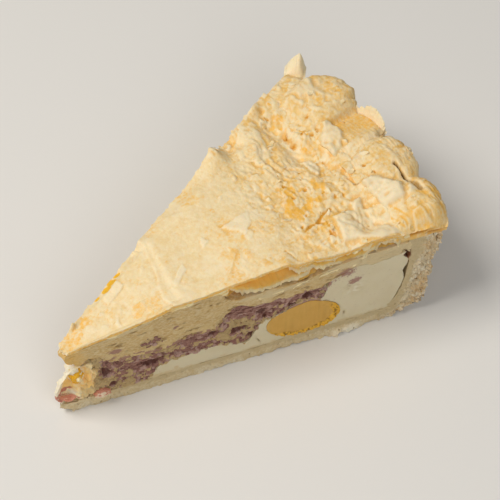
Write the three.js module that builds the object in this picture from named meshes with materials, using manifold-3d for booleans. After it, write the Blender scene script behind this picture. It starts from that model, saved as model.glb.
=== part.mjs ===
// A slice of bacon and egg pie, cut from a round 28 cm pie, in millimetres, +Z up.
//
// The slice stands on its flat base crust. The point of the slice looks towards -X and the crimped rim
// towards +X, and the two cut faces meet at the pie's own axis. Radii and angles below are measured
// round that axis: "near" is the cut face on the -Y side, "far" the one on the +Y side.
// From the base up: a shortcrust case, egg white with a yolk in it, bacon, soft dough, a flaky lid.

import * as THREE from "three";
import { mergeVertices } from "three/addons/utils/BufferGeometryUtils.js";
import Module from "manifold-3d";

const wasm = await Module();
wasm.setup();

// ---- Driving dimensions -------------------------------------------------------------------------

const HALF_ANGLE = THREE.MathUtils.degToRad(17.5); // half of the slice's angle
const PIE_AXIS_X = -74; // the pie's axis, from the middle of the slice
const GAP = 0.3; // between two pieces that touch

const RIM_RADIUS = 139.3; // outside of the case at its top
const BASE_RADIUS = 131.5; // outside of the case at the base
const WALL_TOP = 41;
const BASE_THICKNESS = 5.6;
const CASE_TIP = 4.5; // the base crust is broken off this far from the pie's axis
const LID_TIP = 7.2; // and the lid and the dough this far
const WALL_FACE = 126.8; // inside of the wall, at half height
const FILLING_END = 126; // the egg white shrinks from the wall and leaves a crack

// Heights over the base, at radii from the pie's axis, on the near and the far cut face.
const WHITE_TOP_NEAR = [[34, 6.6], [39, 11.8], [47, 13.2], [58, 13.3], [69, 10.4], [74.5, 18.6],
  [82, 21.5], [90, 24.6], [98, 22.8], [106, 29], [111, 33], [126, 34.6]];
const WHITE_TOP_FAR = [[34, 6.6], [46, 9.5], [62, 15.5], [76, 14], [90, 19], [103, 27], [111, 32.6], [126, 34.2]];
const BACON_TOP_NEAR = [[18.5, 23.6], [28, 21.6], [42, 21], [49, 23.6], [58.5, 23.4], [62, 29.6],
  [66, 31.8], [79, 29], [95, 29.2], [102, 32], [107, 34.8], [111, 34.2]];
const BACON_TOP_FAR = [[18.5, 20], [34, 22], [52, 26], [72, 28], [92, 30], [104, 33], [111, 33.8]];
const DOUGH_TOP = [[LID_TIP, 33.4], [14, 34], [29, 36.6], [40, 39.2], [52, 41], [59.5, 41.4], [64.5, 36],
  [76, 34.4], [88, 35], [104, 37.6], [116, 38.6], [FILLING_END, 39]];
const LID_TOP = [[7, 35], [14, 36], [29, 38.6], [38, 40.8], [48, 42.8], [60, 44.2], [72, 45.8], [84, 46.6],
  [96, 45.9], [108, 46.2], [116, 45.2], [124, 46]];
// The top of the base crust, level but for a slow swelling.
const CRUST_TOP = [[CASE_TIP, 5], [16, 5.7], [34, 5.4], [52, 5.8], [70, 5.5], [88, 6], [104, 5.8], [118, 6]];

// The inside of the wall: how far it stands from WALL_FACE, at heights over the base.
const INNER_WALL = [[BASE_THICKNESS + 1, -6], [11, -3.6], [17, -1.6], [25, 0], [33, 0.5], [WALL_TOP, 0.6]];

const BACON_START = 18.5;
const WHITE_START = 34;
const BACON_END = 111;
const WHITE_SHOULDER = 122; // the top of the egg white turns down to the crack here
const RIM_START = 124; // the lid's rim begins here
const RIM_HEIGHT = 3.2; // of the rim's crest over the lid
const FOOT_CHIP = 12; // how much of the foot of the wall is chipped off at the near cut

// Lobes of the hand-crimped rim: angle and half width in degrees, and how far each stands out.
const RIM_LOBES = [
  { angle: 10.2, width: 4.4, reach: 7.2 },
  { angle: 3.1, width: 3.1, reach: 4.8 },
  { angle: -4.2, width: 4.1, reach: 3.9 },
  { angle: -13.2, width: 4.6, reach: 2.6 },
];

const FILLING_STEP = 3.1; // between the stations that the layers of the filling share
const LID_STEP = 2.45; // between the stations of the lid's top
const FILLING_TURNS = 8; // stations across the slice
const CASE_TURNS = 24;
const LID_TURNS = 30;

// Torn sheets that lie on the lid, by the middle of each: plan place from the pie's axis, half sizes,
// heading in degrees and how far each stands up.
const SHEETS = [
  { x: 123.5, y: -19.5, long: 8, wide: 4.6, heading: 96, up: 1.1, seed: 1 },
  { x: 112, y: -20.5, long: 3.6, wide: 2.6, heading: 40, up: 0.9, seed: 2 },
  { x: 109, y: -28.6, long: 8.6, wide: 4, heading: -14, up: 0.8, seed: 3 },
  { x: 101, y: -9, long: 10.5, wide: 5, heading: 16, up: 0.9, seed: 4 },
  { x: 117, y: -2, long: 5.4, wide: 4.2, heading: 60, up: 1, seed: 5 },
  { x: 107, y: 9, long: 6, wide: 4.6, heading: 74, up: 0.8, seed: 6 },
  { x: 105, y: 22, long: 8, wide: 5.4, heading: 82, up: 0.7, seed: 7 },
  { x: 123, y: 21, long: 6.2, wide: 4.6, heading: 30, up: 1.2, seed: 8 },
  { x: 122, y: 8.5, long: 5.2, wide: 4, heading: -20, up: 1.1, seed: 9 },
  { x: 134, y: 27, long: 6.4, wide: 3.6, heading: 104, up: 1.1, seed: 10 },
  { x: 126, y: 34, long: 5, wide: 3.8, heading: 12, up: 1, seed: 11 },
  { x: 130.5, y: 4, long: 5, wide: 2.8, heading: 70, up: 0.9, seed: 12 },
  { x: 129.5, y: -8, long: 6.4, wide: 3.4, heading: 100, up: 1, seed: 13 },
  { x: 132, y: -31, long: 6, wide: 3.2, heading: 78, up: 1.1, seed: 14 },
  { x: 50, y: -4.5, long: 4, wide: 1.5, heading: 24, up: 0.6, seed: 15 },
  { x: 30.2, y: 5.2, long: 3.5, wide: 2.2, heading: 6, up: 0.5, seed: 16 },
  { x: 25, y: -4.5, long: 1.5, wide: 1, heading: 60, up: 0.6, seed: 17 },
  { x: 88.5, y: 27, long: 5, wide: 2.4, heading: 14, up: 0.6, seed: 18 },
];

// ---- Small helpers ------------------------------------------------------------------------------

// Evenly spaced numbers from a to b, no further apart than `step`.
function stations(a, b, step) {
  const count = Math.ceil((b - a) / step);
  return Array.from({ length: count + 1 }, (_, i) => a + ((b - a) * i) / count);
}

// The radii of the stations that all the layers share, and those of them from a to b.
const ENDS = [LID_TIP, BACON_START, WHITE_START, BACON_END, WHITE_SHOULDER, FILLING_END];
const RADII = ENDS.slice(1).flatMap((end, i) => stations(ENDS[i], end, FILLING_STEP).slice(i ? 1 : 0));
const radiiFrom = (a, b) => RADII.filter((r) => r > a - 0.01 && r < b + 0.01);

const smooth = (t) => THREE.MathUtils.smoothstep(t, 0, 1);

// A height profile through a few points, level at each of its high and low points.
function profile(points) {
  const slopes = points.map((_, i) => {
    if (i === 0 || i === points.length - 1) return 0;
    const before = (points[i][1] - points[i - 1][1]) / (points[i][0] - points[i - 1][0]);
    const after = (points[i + 1][1] - points[i][1]) / (points[i + 1][0] - points[i][0]);
    return before * after > 0 ? (2 * before * after) / (before + after) : 0;
  });
  return (r) => {
    if (r <= points[0][0]) return points[0][1];
    const i = points.findIndex((p) => p[0] >= r);
    if (i < 0) return points[points.length - 1][1];
    const [r0, z0] = points[i - 1];
    const [r1, z1] = points[i];
    const width = r1 - r0;
    const t = (r - r0) / width;
    return (
      z0 * (1 + 2 * t) * (1 - t) ** 2 +
      slopes[i - 1] * width * t * (1 - t) ** 2 +
      z1 * t * t * (3 - 2 * t) +
      slopes[i] * width * t * t * (t - 1)
    );
  };
}

// Soft uneven swelling from -1 to 1, with lumps about `size` across.
function swell(x, y, size, seed) {
  const turns = 5;
  let sum = 0;
  for (let i = 0; i < turns; i++) {
    const a = seed + i * 2.4;
    const wave = (2 * Math.PI) / (size * (1 + 0.19 * i));
    sum += Math.sin(wave * (x * Math.cos(a) + y * Math.sin(a)) + 1.7 * i + seed * 3.1);
  }
  return (sum / turns) * 1.6;
}

// Swelling cut into flat steps with steep risers, as torn sheets of pastry lie on each other.
function sheets(x, y, size, seed, levels) {
  const h = (swell(x, y, size, seed) * 0.5 + 0.5) * levels;
  const step = Math.floor(h);
  return (step + smooth((h - step - 0.62) / 0.38)) / levels - 0.5;
}

// Places a point given by radius and angle round the pie's axis.
function polar(r, angle, z) {
  return new THREE.Vector3(PIE_AXIS_X + r * Math.cos(angle), r * Math.sin(angle), z);
}

const planX = (r, angle) => r * Math.cos(angle);
const planY = (r, angle) => r * Math.sin(angle);

// Share of the way from the near cut face, 0, to the far one, 1.
const across = (angle) => (angle / HALF_ANGLE + 1) / 2;

// Sweeps a closed section [[r, z], ...], listed clockwise as seen from the near side, round the pie's axis.
function sweep(sectionAt, steps, from = -HALF_ANGLE, to = HALF_ANGLE) {
  const rings = [];
  for (let j = 0; j <= steps; j++) {
    const angle = from + ((to - from) * j) / steps;
    rings.push(sectionAt(angle).map(([r, z]) => polar(r, angle, z)));
  }
  const first = sectionAt(from);
  const n = first.length;
  const at = (j, i) => j * n + (i % n);
  const index = [];
  for (let j = 0; j < steps; j++) {
    for (let i = 0; i < n; i++) {
      const [a, b, c, d] = [at(j, i), at(j + 1, i), at(j + 1, i + 1), at(j, i + 1)];
      // The same diagonal for a top and for the underside that lies on it.
      const outward = first[(i + 1) % n][0] >= first[i][0];
      index.push(...(outward ? [a, b, c, a, c, d] : [a, b, d, b, c, d]));
    }
  }
  for (const [j, angle, flip] of [[0, from, false], [steps, to, true]]) {
    const outline = sectionAt(angle).map(([r, z]) => new THREE.Vector2(r, z));
    for (const [a, b, c] of THREE.ShapeUtils.triangulateShape(outline, [])) {
      index.push(...(flip ? [at(j, c), at(j, b), at(j, a)] : [at(j, a), at(j, b), at(j, c)]));
    }
  }
  const geometry = new THREE.BufferGeometry().setFromPoints(rings.flat());
  geometry.setIndex(index);
  return geometry;
}

// A lumpy ball round a point on or near a cut face, squashed to the three half sizes given: along the
// slice, across it and up. Below 1, `boxy` flattens its top and bottom.
function lump({ r, angle, z, along, deep, high, lumps = 0, seed = 0, detail = 12, boxy = 1 }) {
  const geometry = new THREE.SphereGeometry(1, detail * 2, detail);
  const place = geometry.getAttribute("position");
  const out = new THREE.Vector3(Math.cos(angle), Math.sin(angle), 0);
  const side = new THREE.Vector3(-Math.sin(angle), Math.cos(angle), 0);
  const centre = polar(r, angle, z);
  for (let i = 0; i < place.count; i++) {
    const p = new THREE.Vector3().fromBufferAttribute(place, i);
    const size = 1 + lumps * swell(p.x * 3 + p.z, p.y * 3 - p.z, 3, seed);
    const q = centre.clone();
    q.addScaledVector(out, p.x * along * size);
    q.addScaledVector(side, p.y * deep * size);
    q.z += Math.sign(p.z) * Math.abs(p.z) ** boxy * high * size;
    place.setXYZ(i, q.x, q.y, q.z);
  }
  return geometry;
}

const grown = (piece) => ({ ...piece, along: piece.along + GAP, deep: piece.deep + GAP, high: piece.high + GAP });

function toSolid(geometry) {
  const bare = geometry.clone();
  bare.deleteAttribute("normal");
  bare.deleteAttribute("uv");
  const merged = mergeVertices(bare, 1e-4);
  return new wasm.Manifold(
    new wasm.Mesh({
      numProp: 3,
      vertProperties: new Float32Array(merged.getAttribute("position").array),
      triVerts: new Uint32Array(merged.index.array),
    }),
  );
}

function toGeometry(solid) {
  const mesh = solid.getMesh();
  const geometry = new THREE.BufferGeometry();
  geometry.setAttribute("position", new THREE.BufferAttribute(new Float32Array(mesh.vertProperties), 3));
  geometry.setIndex(new THREE.BufferAttribute(new Uint32Array(mesh.triVerts), 1));
  return geometry;
}

// ---- The surfaces between the layers ------------------------------------------------------------

const whiteNear = profile(WHITE_TOP_NEAR);
const whiteFar = profile(WHITE_TOP_FAR);
const baconNear = profile(BACON_TOP_NEAR);
const baconFar = profile(BACON_TOP_FAR);
const lidProfile = profile(LID_TOP);
const crustUnder = (from, gap = 0) => CRUST_TOP.filter(([r]) => r > from - 0.01).map(([r, z]) => [r, z + gap]);

const mix = (near, far, r, angle) => THREE.MathUtils.lerp(near(r), far(r), smooth(across(angle)));

function whiteTop(r, angle) {
  return mix(whiteNear, whiteFar, r, angle) + 0.25 * swell(planX(r, angle), planY(r, angle), 9, 1.3);
}

function baconTop(r, angle) {
  const lumpy = 0.6 * swell(planX(r, angle), planY(r, angle), 7.5, 2.1);
  return Math.max(mix(baconNear, baconFar, r, angle) + lumpy, whiteTop(r, angle) + 1);
}

// A dip in the lid, `across` wide and `deep` at its middle.
const dip = (x, y, cx, cy, size, deep) => -deep * Math.exp(-((x - cx) ** 2 + (y - cy) ** 2) / size ** 2);

// The crisp top of the lid inside the rim: thin sheets, rougher towards the rim, with a crease in it.
function flatTop(r, angle) {
  const x = planX(r, angle);
  const y = planY(r, angle);
  const rough = smooth((r - 78) / 34);
  const crease = Math.exp(-(((x - 113.5 + 0.05 * y) / 3) ** 2)) * smooth((y + 6) / 14);
  const topSheet = 0.6 * smooth((x - 46.5 - 0.2 * y) / 2.4);
  const torn = sheets(x, y, 23, 0.9, 4) * (0.4 + 2.2 * rough);
  const scales = sheets(x, y, 9, 2.7, 3) * 1.3 * rough;
  return lidProfile(r) - 0.6 + topSheet + 0.4 * swell(x, y, 26, 5.2) + torn + scales - 1.9 * crease;
}

// How far the rim stands out at an angle, and how high its crest is.
function rimReach(angle) {
  const degrees = THREE.MathUtils.radToDeg(angle);
  return RIM_LOBES.reduce((sum, lobe) => {
    const t = Math.min(1, Math.abs(degrees - lobe.angle) / lobe.width);
    return sum + lobe.reach * (1 - t ** 2.4);
  }, 0);
}

function rimCrest(angle) {
  const nearDip = 1 - smooth((THREE.MathUtils.radToDeg(angle) + 17.5) / 2.4);
  return lidProfile(RIM_START) + RIM_HEIGHT * (0.35 + 0.65 * Math.min(1, rimReach(angle) / 3)) - 3.4 * nearDip;
}

// The rim from where it leaves the lid, t = 0, to its outer edge, t = 1.
const rimRadius = (t, angle) =>
  THREE.MathUtils.lerp(RIM_START - 1, RIM_RADIUS + 0.9 + rimReach(angle), Math.sin((t * Math.PI) / 2));

function rimTop(t, angle) {
  const r = rimRadius(t, angle);
  const x = planX(r, angle);
  const y = planY(r, angle);
  const fall = smooth((t - 0.55) / 0.45);
  const height = THREE.MathUtils.lerp(flatTop(WHITE_SHOULDER, angle), rimCrest(angle), smooth(t / 0.45));
  const scales = sheets(x, y, 8, 3.9, 3) * 2 + 0.5 * swell(x, y, 5, 2.2) + dip(x, y, 135, 9, 4.4, 1.8);
  return THREE.MathUtils.lerp(height + scales, WALL_TOP + 1.4, fall);
}

// The height of the lid, rim and all, at a plan place.
function lidTop(x, y) {
  const r = Math.hypot(x, y);
  const angle = Math.atan2(y, x);
  if (r < RIM_START - 1) return flatTop(r, angle);
  const width = rimRadius(1, angle) - RIM_START + 1;
  return rimTop((Math.asin(Math.min(1, (r - RIM_START + 1) / width)) * 2) / Math.PI, angle);
}

// ---- The case: base crust and wall in one ------------------------------------------------------

// The outside of the wall is rough, and its foot is chipped away, most of all at the near cut.
function wallOutline(angle) {
  const arc = angle * RIM_RADIUS;
  const chip = 2.6 + FOOT_CHIP * Math.exp(-(((angle + HALF_ANGLE) / 0.05) ** 2)) + 1.2 * swell(arc, 0, 15, 0.2);
  return [0, 2.4, 4.6, 8, 12, 17, 22, 28, 34, WALL_TOP].map((z) => {
    const crumbs = 0.55 * swell(arc, z * 1.2, 8.5, 3.3) * smooth((WALL_TOP - z) / 6);
    const flare = THREE.MathUtils.lerp(BASE_RADIUS, RIM_RADIUS, (z / WALL_TOP) ** 0.85);
    return [flare + crumbs - chip * Math.max(0, 1 - z / 4.6), z];
  });
}

function caseSection(angle) {
  const innerWall = INNER_WALL.map(([z, inset]) => [WALL_FACE + inset, z]).reverse();
  return [[CASE_TIP + 0.8, 0], [60, 0], [112, 0], ...wallOutline(angle), ...innerWall, ...crustUnder(0).reverse()];
}

function buildCase() {
  return sweep(caseSection, CASE_TURNS);
}

// ---- The filling -------------------------------------------------------------------------------

// The yolk: a squashed ball that the knife went through, humped on top.
const YOLK = { r: 89.4, angle: -HALF_ANGLE, z: 14.3, along: 13.2, deep: 12.6, high: 7.9, lumps: 0.035, seed: 2 };

// Everything between the two cut planes, so that what bulges past a cut is sliced off with it.
function betweenTheCuts() {
  return toSolid(sweep(() => [[1, -5], [200, -5], [200, 80], [1, 80]], FILLING_TURNS));
}

// The largest radius at which the egg white still clears the wall, for a height.
function whiteEnd(z) {
  return Math.min(FILLING_END, WALL_FACE + profile(INNER_WALL)(z) - 0.9) - 2.2 * smooth((z - 29) / 5);
}

function buildWhite() {
  const bare = sweep((angle) => {
    const top = radiiFrom(WHITE_START, WHITE_SHOULDER).map((r) => [r, whiteTop(r, angle)]);
    const side = [34, 28, 22, 16, 11, BASE_THICKNESS + 2].map((z) => [whiteEnd(z), z]);
    side[0][1] = whiteTop(FILLING_END, angle);
    return [...crustUnder(WHITE_START, GAP), ...side.reverse(), ...top.reverse()];
  }, FILLING_TURNS);
  return toGeometry(toSolid(bare).subtract(toSolid(lump(grown(YOLK)))));
}

function buildYolk() {
  return toGeometry(toSolid(lump(YOLK)).intersect(betweenTheCuts()));
}

// A scrap of bacon that lies in the dough, seen at the near cut.
const BACON_SCRAP = { r: 35.4, angle: -HALF_ANGLE, z: 26.6, along: 3.9, deep: 4.5, high: 2.5, lumps: 0.12, seed: 1,
  detail: 6 };

// Crevices between the shreds of bacon at the near cut.
const CREVICES = [
  { r: 19.4, angle: -HALF_ANGLE, z: 16.6, along: 1.6, deep: 2.4, high: 2.2, lumps: 0.15, seed: 2, detail: 4 },
  { r: 35, angle: -HALF_ANGLE, z: 14.6, along: 4.2, deep: 1.6, high: 1.5, lumps: 0.2, seed: 3, detail: 4 },
  { r: 67, angle: -HALF_ANGLE, z: 18.4, along: 1.8, deep: 1.5, high: 1.1, lumps: 0.2, seed: 4, detail: 4 },
  { r: 75, angle: -HALF_ANGLE, z: 24.6, along: 2, deep: 1.4, high: 1.2, lumps: 0.2, seed: 5, detail: 4 },
  { r: 93, angle: -HALF_ANGLE, z: 26.6, along: 2.2, deep: 1.6, high: 1.3, lumps: 0.2, seed: 6, detail: 4 },
];

function buildBacon() {
  const layer = sweep((angle) => {
    const under = crustUnder(WHITE_START, GAP);
    const left = [[BACON_START, CRUST_TOP[1][1] + GAP], [WHITE_START - 2, under[0][1]]];
    const bottom = radiiFrom(WHITE_START, BACON_END).map((r) => [r, whiteTop(r, angle) + GAP]);
    const top = radiiFrom(BACON_START, BACON_END).map((r) => [r, baconTop(r, angle)]);
    return [...left, ...bottom, ...top.reverse()];
  }, FILLING_TURNS);
  return toGeometry(CREVICES.reduce((bacon, crevice) => bacon.subtract(toSolid(lump(crevice))), toSolid(layer)));
}

function buildBaconScrap() {
  return toGeometry(toSolid(lump(BACON_SCRAP)).intersect(betweenTheCuts()));
}

// A dark hole between the dough, the egg white and the wall.
const WALL_HOLE = { r: 126, angle: -HALF_ANGLE, z: 35.2, along: 1.6, deep: 2.2, high: 1.5, lumps: 0.1, seed: 8, detail: 4 };

function buildDough() {
  const bare = sweep((angle) => {
    const bottom = radiiFrom(LID_TIP, FILLING_END).map((r) => {
      if (r < BACON_START) return [r, 26 + 1.2 * Math.sin(r)];
      return [r, (r > BACON_END ? whiteTop(r, angle) : baconTop(r, angle)) + GAP];
    });
    bottom[0][0] += 1.2;
    return [...bottom, ...DOUGH_TOP.toReversed(), [LID_TIP - 1.4, 31]];
  }, FILLING_TURNS);
  return toGeometry(toSolid(bare).subtract(toSolid(lump(grown(BACON_SCRAP)))).subtract(toSolid(lump(WALL_HOLE))));
}

// ---- The flaky lid ------------------------------------------------------------------------------

// Hollows where the sheets of the lid have parted, open at the cuts, and a slit behind the rim.
const HOLLOWS = [
  { r: 78, angle: -HALF_ANGLE, z: 40.7, along: 16, deep: 12, high: 3.4, seed: 3, lumps: 0.05, detail: 8, boxy: 0.75 },
  { r: 63.4, angle: -HALF_ANGLE, z: 42.2, along: 2.2, deep: 3, high: 0.9, seed: 7, detail: 4 },
  { r: 116.5, angle: -HALF_ANGLE, z: 41.4, along: 9.5, deep: 8, high: 1.7, seed: 4, lumps: 0.05, detail: 6, boxy: 0.7 },
  { r: 92, angle: HALF_ANGLE, z: 41.2, along: 19, deep: 9, high: 2.2, seed: 5, lumps: 0.05, detail: 6, boxy: 0.7 },
  { r: 136.6, angle: THREE.MathUtils.degToRad(-7.8), z: 48.4, along: 0.7, deep: 4.8, high: 3, detail: 5 },
];

// A pointed flap of pastry that stands up from the rim near the far cut, as wide as the rim's lobes are
// deep. It faces the tip of the slice.
const FLAP = { x: 134.6, y: 39, heading: -38, width: 8.6, thickness: 1.8, foot: 43.5, high: 8.6, lean: 0.9 };

function lidSection(angle) {
  const flat = stations(LID_TIP, WHITE_SHOULDER, LID_STEP).map((r) => [r, flatTop(r, angle)]);
  const rim = stations(0, 1, 1 / 9).map((t) => [rimRadius(t, angle), rimTop(t, angle)]);
  const foot = [[FILLING_END + 1, WALL_TOP + GAP], [RIM_RADIUS - 0.5, WALL_TOP + GAP]];
  const under = DOUGH_TOP.map(([r, z]) => [r, z + GAP]);
  return [...under, ...foot, ...rim.reverse(), ...flat.reverse()];
}

function buildFlap() {
  const shape = new THREE.Shape();
  shape.moveTo(-FLAP.width / 2, 0);
  shape.quadraticCurveTo(-FLAP.width * 0.36, FLAP.high * 0.5, FLAP.lean, FLAP.high);
  shape.quadraticCurveTo(FLAP.width * 0.24, FLAP.high * 0.5, FLAP.width / 2, 0);
  shape.closePath();
  const flap = new THREE.ExtrudeGeometry(shape, { depth: FLAP.thickness, bevelEnabled: false, curveSegments: 5 });
  flap.translate(0, 0, -FLAP.thickness / 2);
  flap.rotateX(Math.PI / 2);
  flap.rotateZ(THREE.MathUtils.degToRad(FLAP.heading));
  return flap.translate(PIE_AXIS_X + FLAP.x, FLAP.y, FLAP.foot);
}

// A torn sheet of pastry with a ragged outline, lying on the lid and following it. It is sunk into the
// lid, so that no air is shut in under it.
function buildSheet({ x, y, long, wide, heading, up, seed }) {
  const corners = 11;
  const turn = THREE.MathUtils.degToRad(heading);
  const points = [];
  const place = (px, py, dz) => points.push(new THREE.Vector3(PIE_AXIS_X + px, py, lidTop(px, py) + dz));
  const sunk = 0.5 - 2.2 * up;
  place(x, y, up);
  place(x, y, sunk);
  for (let i = 0; i < corners; i++) {
    const t = (i / corners) * 2 * Math.PI;
    const ragged = 1 + 0.16 * Math.sin(3.7 * i + seed * 2.3) + 0.1 * Math.sin(7.1 * i + seed);
    const u = long * ragged * Math.cos(t);
    const v = wide * ragged * Math.sin(t);
    const px = x + u * Math.cos(turn) - v * Math.sin(turn);
    const py = y + u * Math.sin(turn) + v * Math.cos(turn);
    place(px, py, up * (0.7 + 0.3 * Math.sin(t + seed)));
    place(px, py, sunk);
  }
  const index = [];
  for (let i = 0; i < corners; i++) {
    const a = 2 + 2 * i;
    const b = 2 + 2 * ((i + 1) % corners);
    index.push(0, a, b, 1, b + 1, a + 1, a, a + 1, b + 1, a, b + 1, b);
  }
  const geometry = new THREE.BufferGeometry().setFromPoints(points);
  geometry.setIndex(index);
  return geometry;
}

function buildLid() {
  let lid = toSolid(sweep(lidSection, LID_TURNS));
  for (const sheet of SHEETS) lid = lid.add(toSolid(buildSheet(sheet)));
  for (const hollow of HOLLOWS) lid = lid.subtract(toSolid(lump(hollow)));
  return toGeometry(lid.add(toSolid(buildFlap())));
}

// ---- The broken tip -----------------------------------------------------------------------------

const TIP_YOLK = { r: 10.2, angle: -0.2, z: 18.6, along: 2.7, deep: 1.7, high: 3.1, lumps: 0.08, seed: 4, detail: 7 };
const TIP_BACON = { r: 6.8, angle: -0.17, z: 9.8, along: 4.1, deep: 1.8, high: 1.9, lumps: 0.1, seed: 6, detail: 7 };
const FRONT_BACON = { r: 15.6, angle: -HALF_ANGLE + 0.02, z: 7.6, along: 2, deep: 1.4, high: 1.6, lumps: 0.1, seed: 2, detail: 6 };

// Egg white torn out of the point of the slice, with a shred of yolk and of bacon in it.
function buildTipEgg() {
  const bare = sweep(
    () => [[4.2, BASE_THICKNESS + 0.9], [17.6, BASE_THICKNESS + 0.9], [18, 14], [17.6, 21], [15, 24], [9.2, 24.2],
      [6.8, 20.8], [4.2, 16.4], [2.8, 12.4], [2.9, 9]],
    6,
  );
  let egg = toSolid(bare);
  for (const piece of [TIP_YOLK, TIP_BACON, FRONT_BACON]) egg = egg.subtract(toSolid(lump(grown(piece))));
  return toGeometry(egg);
}

function buildTipPiece(piece) {
  return toGeometry(toSolid(lump(piece)).intersect(betweenTheCuts()));
}

// ---- The slice ----------------------------------------------------------------------------------

const finish = (color, roughness) => new THREE.MeshStandardMaterial({ color, roughness, metalness: 0 });

const FINISHES = {
  shortcrust: finish(0xd2bb8c, 0.85),
  flaky: finish(0xf0d9a8, 0.6),
  dough: finish(0xcdb47c, 0.7),
  white: finish(0xe6dec6, 0.4),
  yolk: finish(0xd9a03a, 0.7),
  freshYolk: finish(0xf0ac1c, 0.5),
  bacon: finish(0x9a6c60, 0.55),
  pinkBacon: finish(0xc9705c, 0.5),
};

const PIECES = [
  ["pastry_case", buildCase, FINISHES.shortcrust],
  ["egg_white", buildWhite, FINISHES.white],
  ["egg_yolk", buildYolk, FINISHES.yolk],
  ["bacon_layer", buildBacon, FINISHES.bacon],
  ["bacon_scrap", buildBaconScrap, FINISHES.bacon],
  ["dough_layer", buildDough, FINISHES.dough],
  ["pastry_lid", buildLid, FINISHES.flaky],
  ["tip_egg", buildTipEgg, FINISHES.white],
  ["tip_yolk", () => buildTipPiece(TIP_YOLK), FINISHES.freshYolk],
  ["tip_bacon", () => buildTipPiece(TIP_BACON), FINISHES.pinkBacon],
  ["front_bacon", () => buildTipPiece(FRONT_BACON), FINISHES.pinkBacon],
];

const slice = new THREE.Group();
for (const [name, build, material] of PIECES) {
  const piece = new THREE.Mesh(build(), material);
  piece.name = name;
  slice.add(piece);
}

export default slice;
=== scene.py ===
"""Dresses a slice of bacon and egg pie, cut from a round 28 cm pie.

Sizes are in millimetres until a mesh is written. Radii and angles are taken round the pie's own axis,
and the "near" cut face is the one on the -Y side. The slice is built layer by layer, from the base up.
"""

from __future__ import annotations

import itertools
import logging
import math
from dataclasses import dataclass, field
from enum import Enum
from typing import Mapping, Sequence

import bpy
import numpy as np
from bpy.types import Material, Node, NodeSocket, NodeTree, Object
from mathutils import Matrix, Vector

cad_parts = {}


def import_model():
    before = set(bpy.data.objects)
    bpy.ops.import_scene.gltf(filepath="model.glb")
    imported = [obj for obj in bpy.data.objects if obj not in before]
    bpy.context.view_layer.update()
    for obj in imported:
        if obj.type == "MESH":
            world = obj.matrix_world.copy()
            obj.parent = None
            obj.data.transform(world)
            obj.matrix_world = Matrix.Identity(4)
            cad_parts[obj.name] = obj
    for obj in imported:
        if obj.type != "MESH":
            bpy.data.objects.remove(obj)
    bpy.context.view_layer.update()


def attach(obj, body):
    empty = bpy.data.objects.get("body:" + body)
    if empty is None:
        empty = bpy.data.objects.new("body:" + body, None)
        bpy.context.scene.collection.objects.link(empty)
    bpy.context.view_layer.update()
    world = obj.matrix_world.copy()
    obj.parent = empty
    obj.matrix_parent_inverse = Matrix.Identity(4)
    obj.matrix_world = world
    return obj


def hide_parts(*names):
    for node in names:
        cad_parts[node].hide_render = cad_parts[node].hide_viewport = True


log = logging.getLogger("pie_slice")

MM = 0.001
PIE_AXIS_X = -74.0
HALF_ANGLE = math.radians(17.5)
LID_TIP = 7.2
RIM_RADIUS = 139.3
BASE_RADIUS = 131.5
WALL_TOP = 41.0
WALL_FACE = 126.8
FILLING_END = 126.0
BACON_START = 18.5
BACON_END = 111.0
WHITE_START = 34.0

FACES_APART = 400.0  # keeps the relief of the far cut face unlike that of the near one
SHARP_EDGE = math.radians(68)  # steeper edges aren't shaded smooth
FOOD_IOR = 1.42
WARM_REACH = (1.0, 0.74, 0.44)  # how far red, green and blue light get in food, as shares
TONE_EDGE = 0.45  # how high an attribute is where its tone's ragged edge runs

Array = np.ndarray
Points = Sequence[tuple[float, float]]
Spots = Sequence[tuple[float, float, float]]  # X, Y and size
Patch = tuple[float, float, float, float, float]  # radius and height, half width and height, and strength


# ---- Sums on arrays of points -------------------------------------------------------------------


def smooth(t: Array | float) -> Array:
    """Eases from 0 to 1 as t goes from 0 to 1."""
    t = np.clip(t, 0.0, 1.0)
    return t * t * (3.0 - 2.0 * t)


def mix(a: Array | float, b: Array | float, t: Array | float) -> Array:
    """Goes from a to b as t goes from 0 to 1."""
    return a + (b - a) * t


def bell(x: Array | float, middle: float, width: float) -> Array:
    """A smooth bump that is 1 at `middle` and fades out over `width`."""
    return np.exp(-(((x - middle) / width) ** 2))


class Profile:
    """A height along the slice, through a few points, level at each high and low one."""

    def __init__(self, points: Points) -> None:
        """Takes the points as (radius, height) pairs, in order of radius."""
        self.x, self.y = np.array(points, float).T
        slope = np.diff(self.y) / np.diff(self.x)
        before, after = slope[:-1], slope[1:]
        same = before * after > 0
        inner = np.where(same, 2 * before * after / np.where(same, before + after, 1.0), 0.0)
        self.m = np.concatenate([[0.0], inner, [0.0]])

    def __call__(self, x: Array | float) -> Array:
        """Returns the height at each radius."""
        x = np.clip(np.asarray(x, float), self.x[0], self.x[-1])
        i = np.clip(np.searchsorted(self.x, x, side="right") - 1, 0, len(self.x) - 2)
        width = self.x[i + 1] - self.x[i]
        t = (x - self.x[i]) / width
        return (
            self.y[i] * (1 + 2 * t) * (1 - t) ** 2
            + self.m[i] * width * t * (1 - t) ** 2
            + self.y[i + 1] * t * t * (3 - 2 * t)
            + self.m[i + 1] * width * t * t * (t - 1)
        )


def scramble(cells: Array, seed: int) -> Array:
    """Turns whole-number cells, one row each, into a number from 0 to 1 that looks random."""
    h = np.full(cells.shape[:-1], seed * 1274126177 & 0xFFFFFFFF, np.int64)
    for k, prime in zip(range(cells.shape[-1]), (374761393, 668265263, 2147483647)):
        h = (h + cells[..., k] * prime) & 0xFFFFFFFF
        h = ((h ^ (h >> 13)) * 1274126177) & 0xFFFFFFFF
    return ((h ^ (h >> 16)) & 0xFFFFFF) / float(0xFFFFFF)


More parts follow.
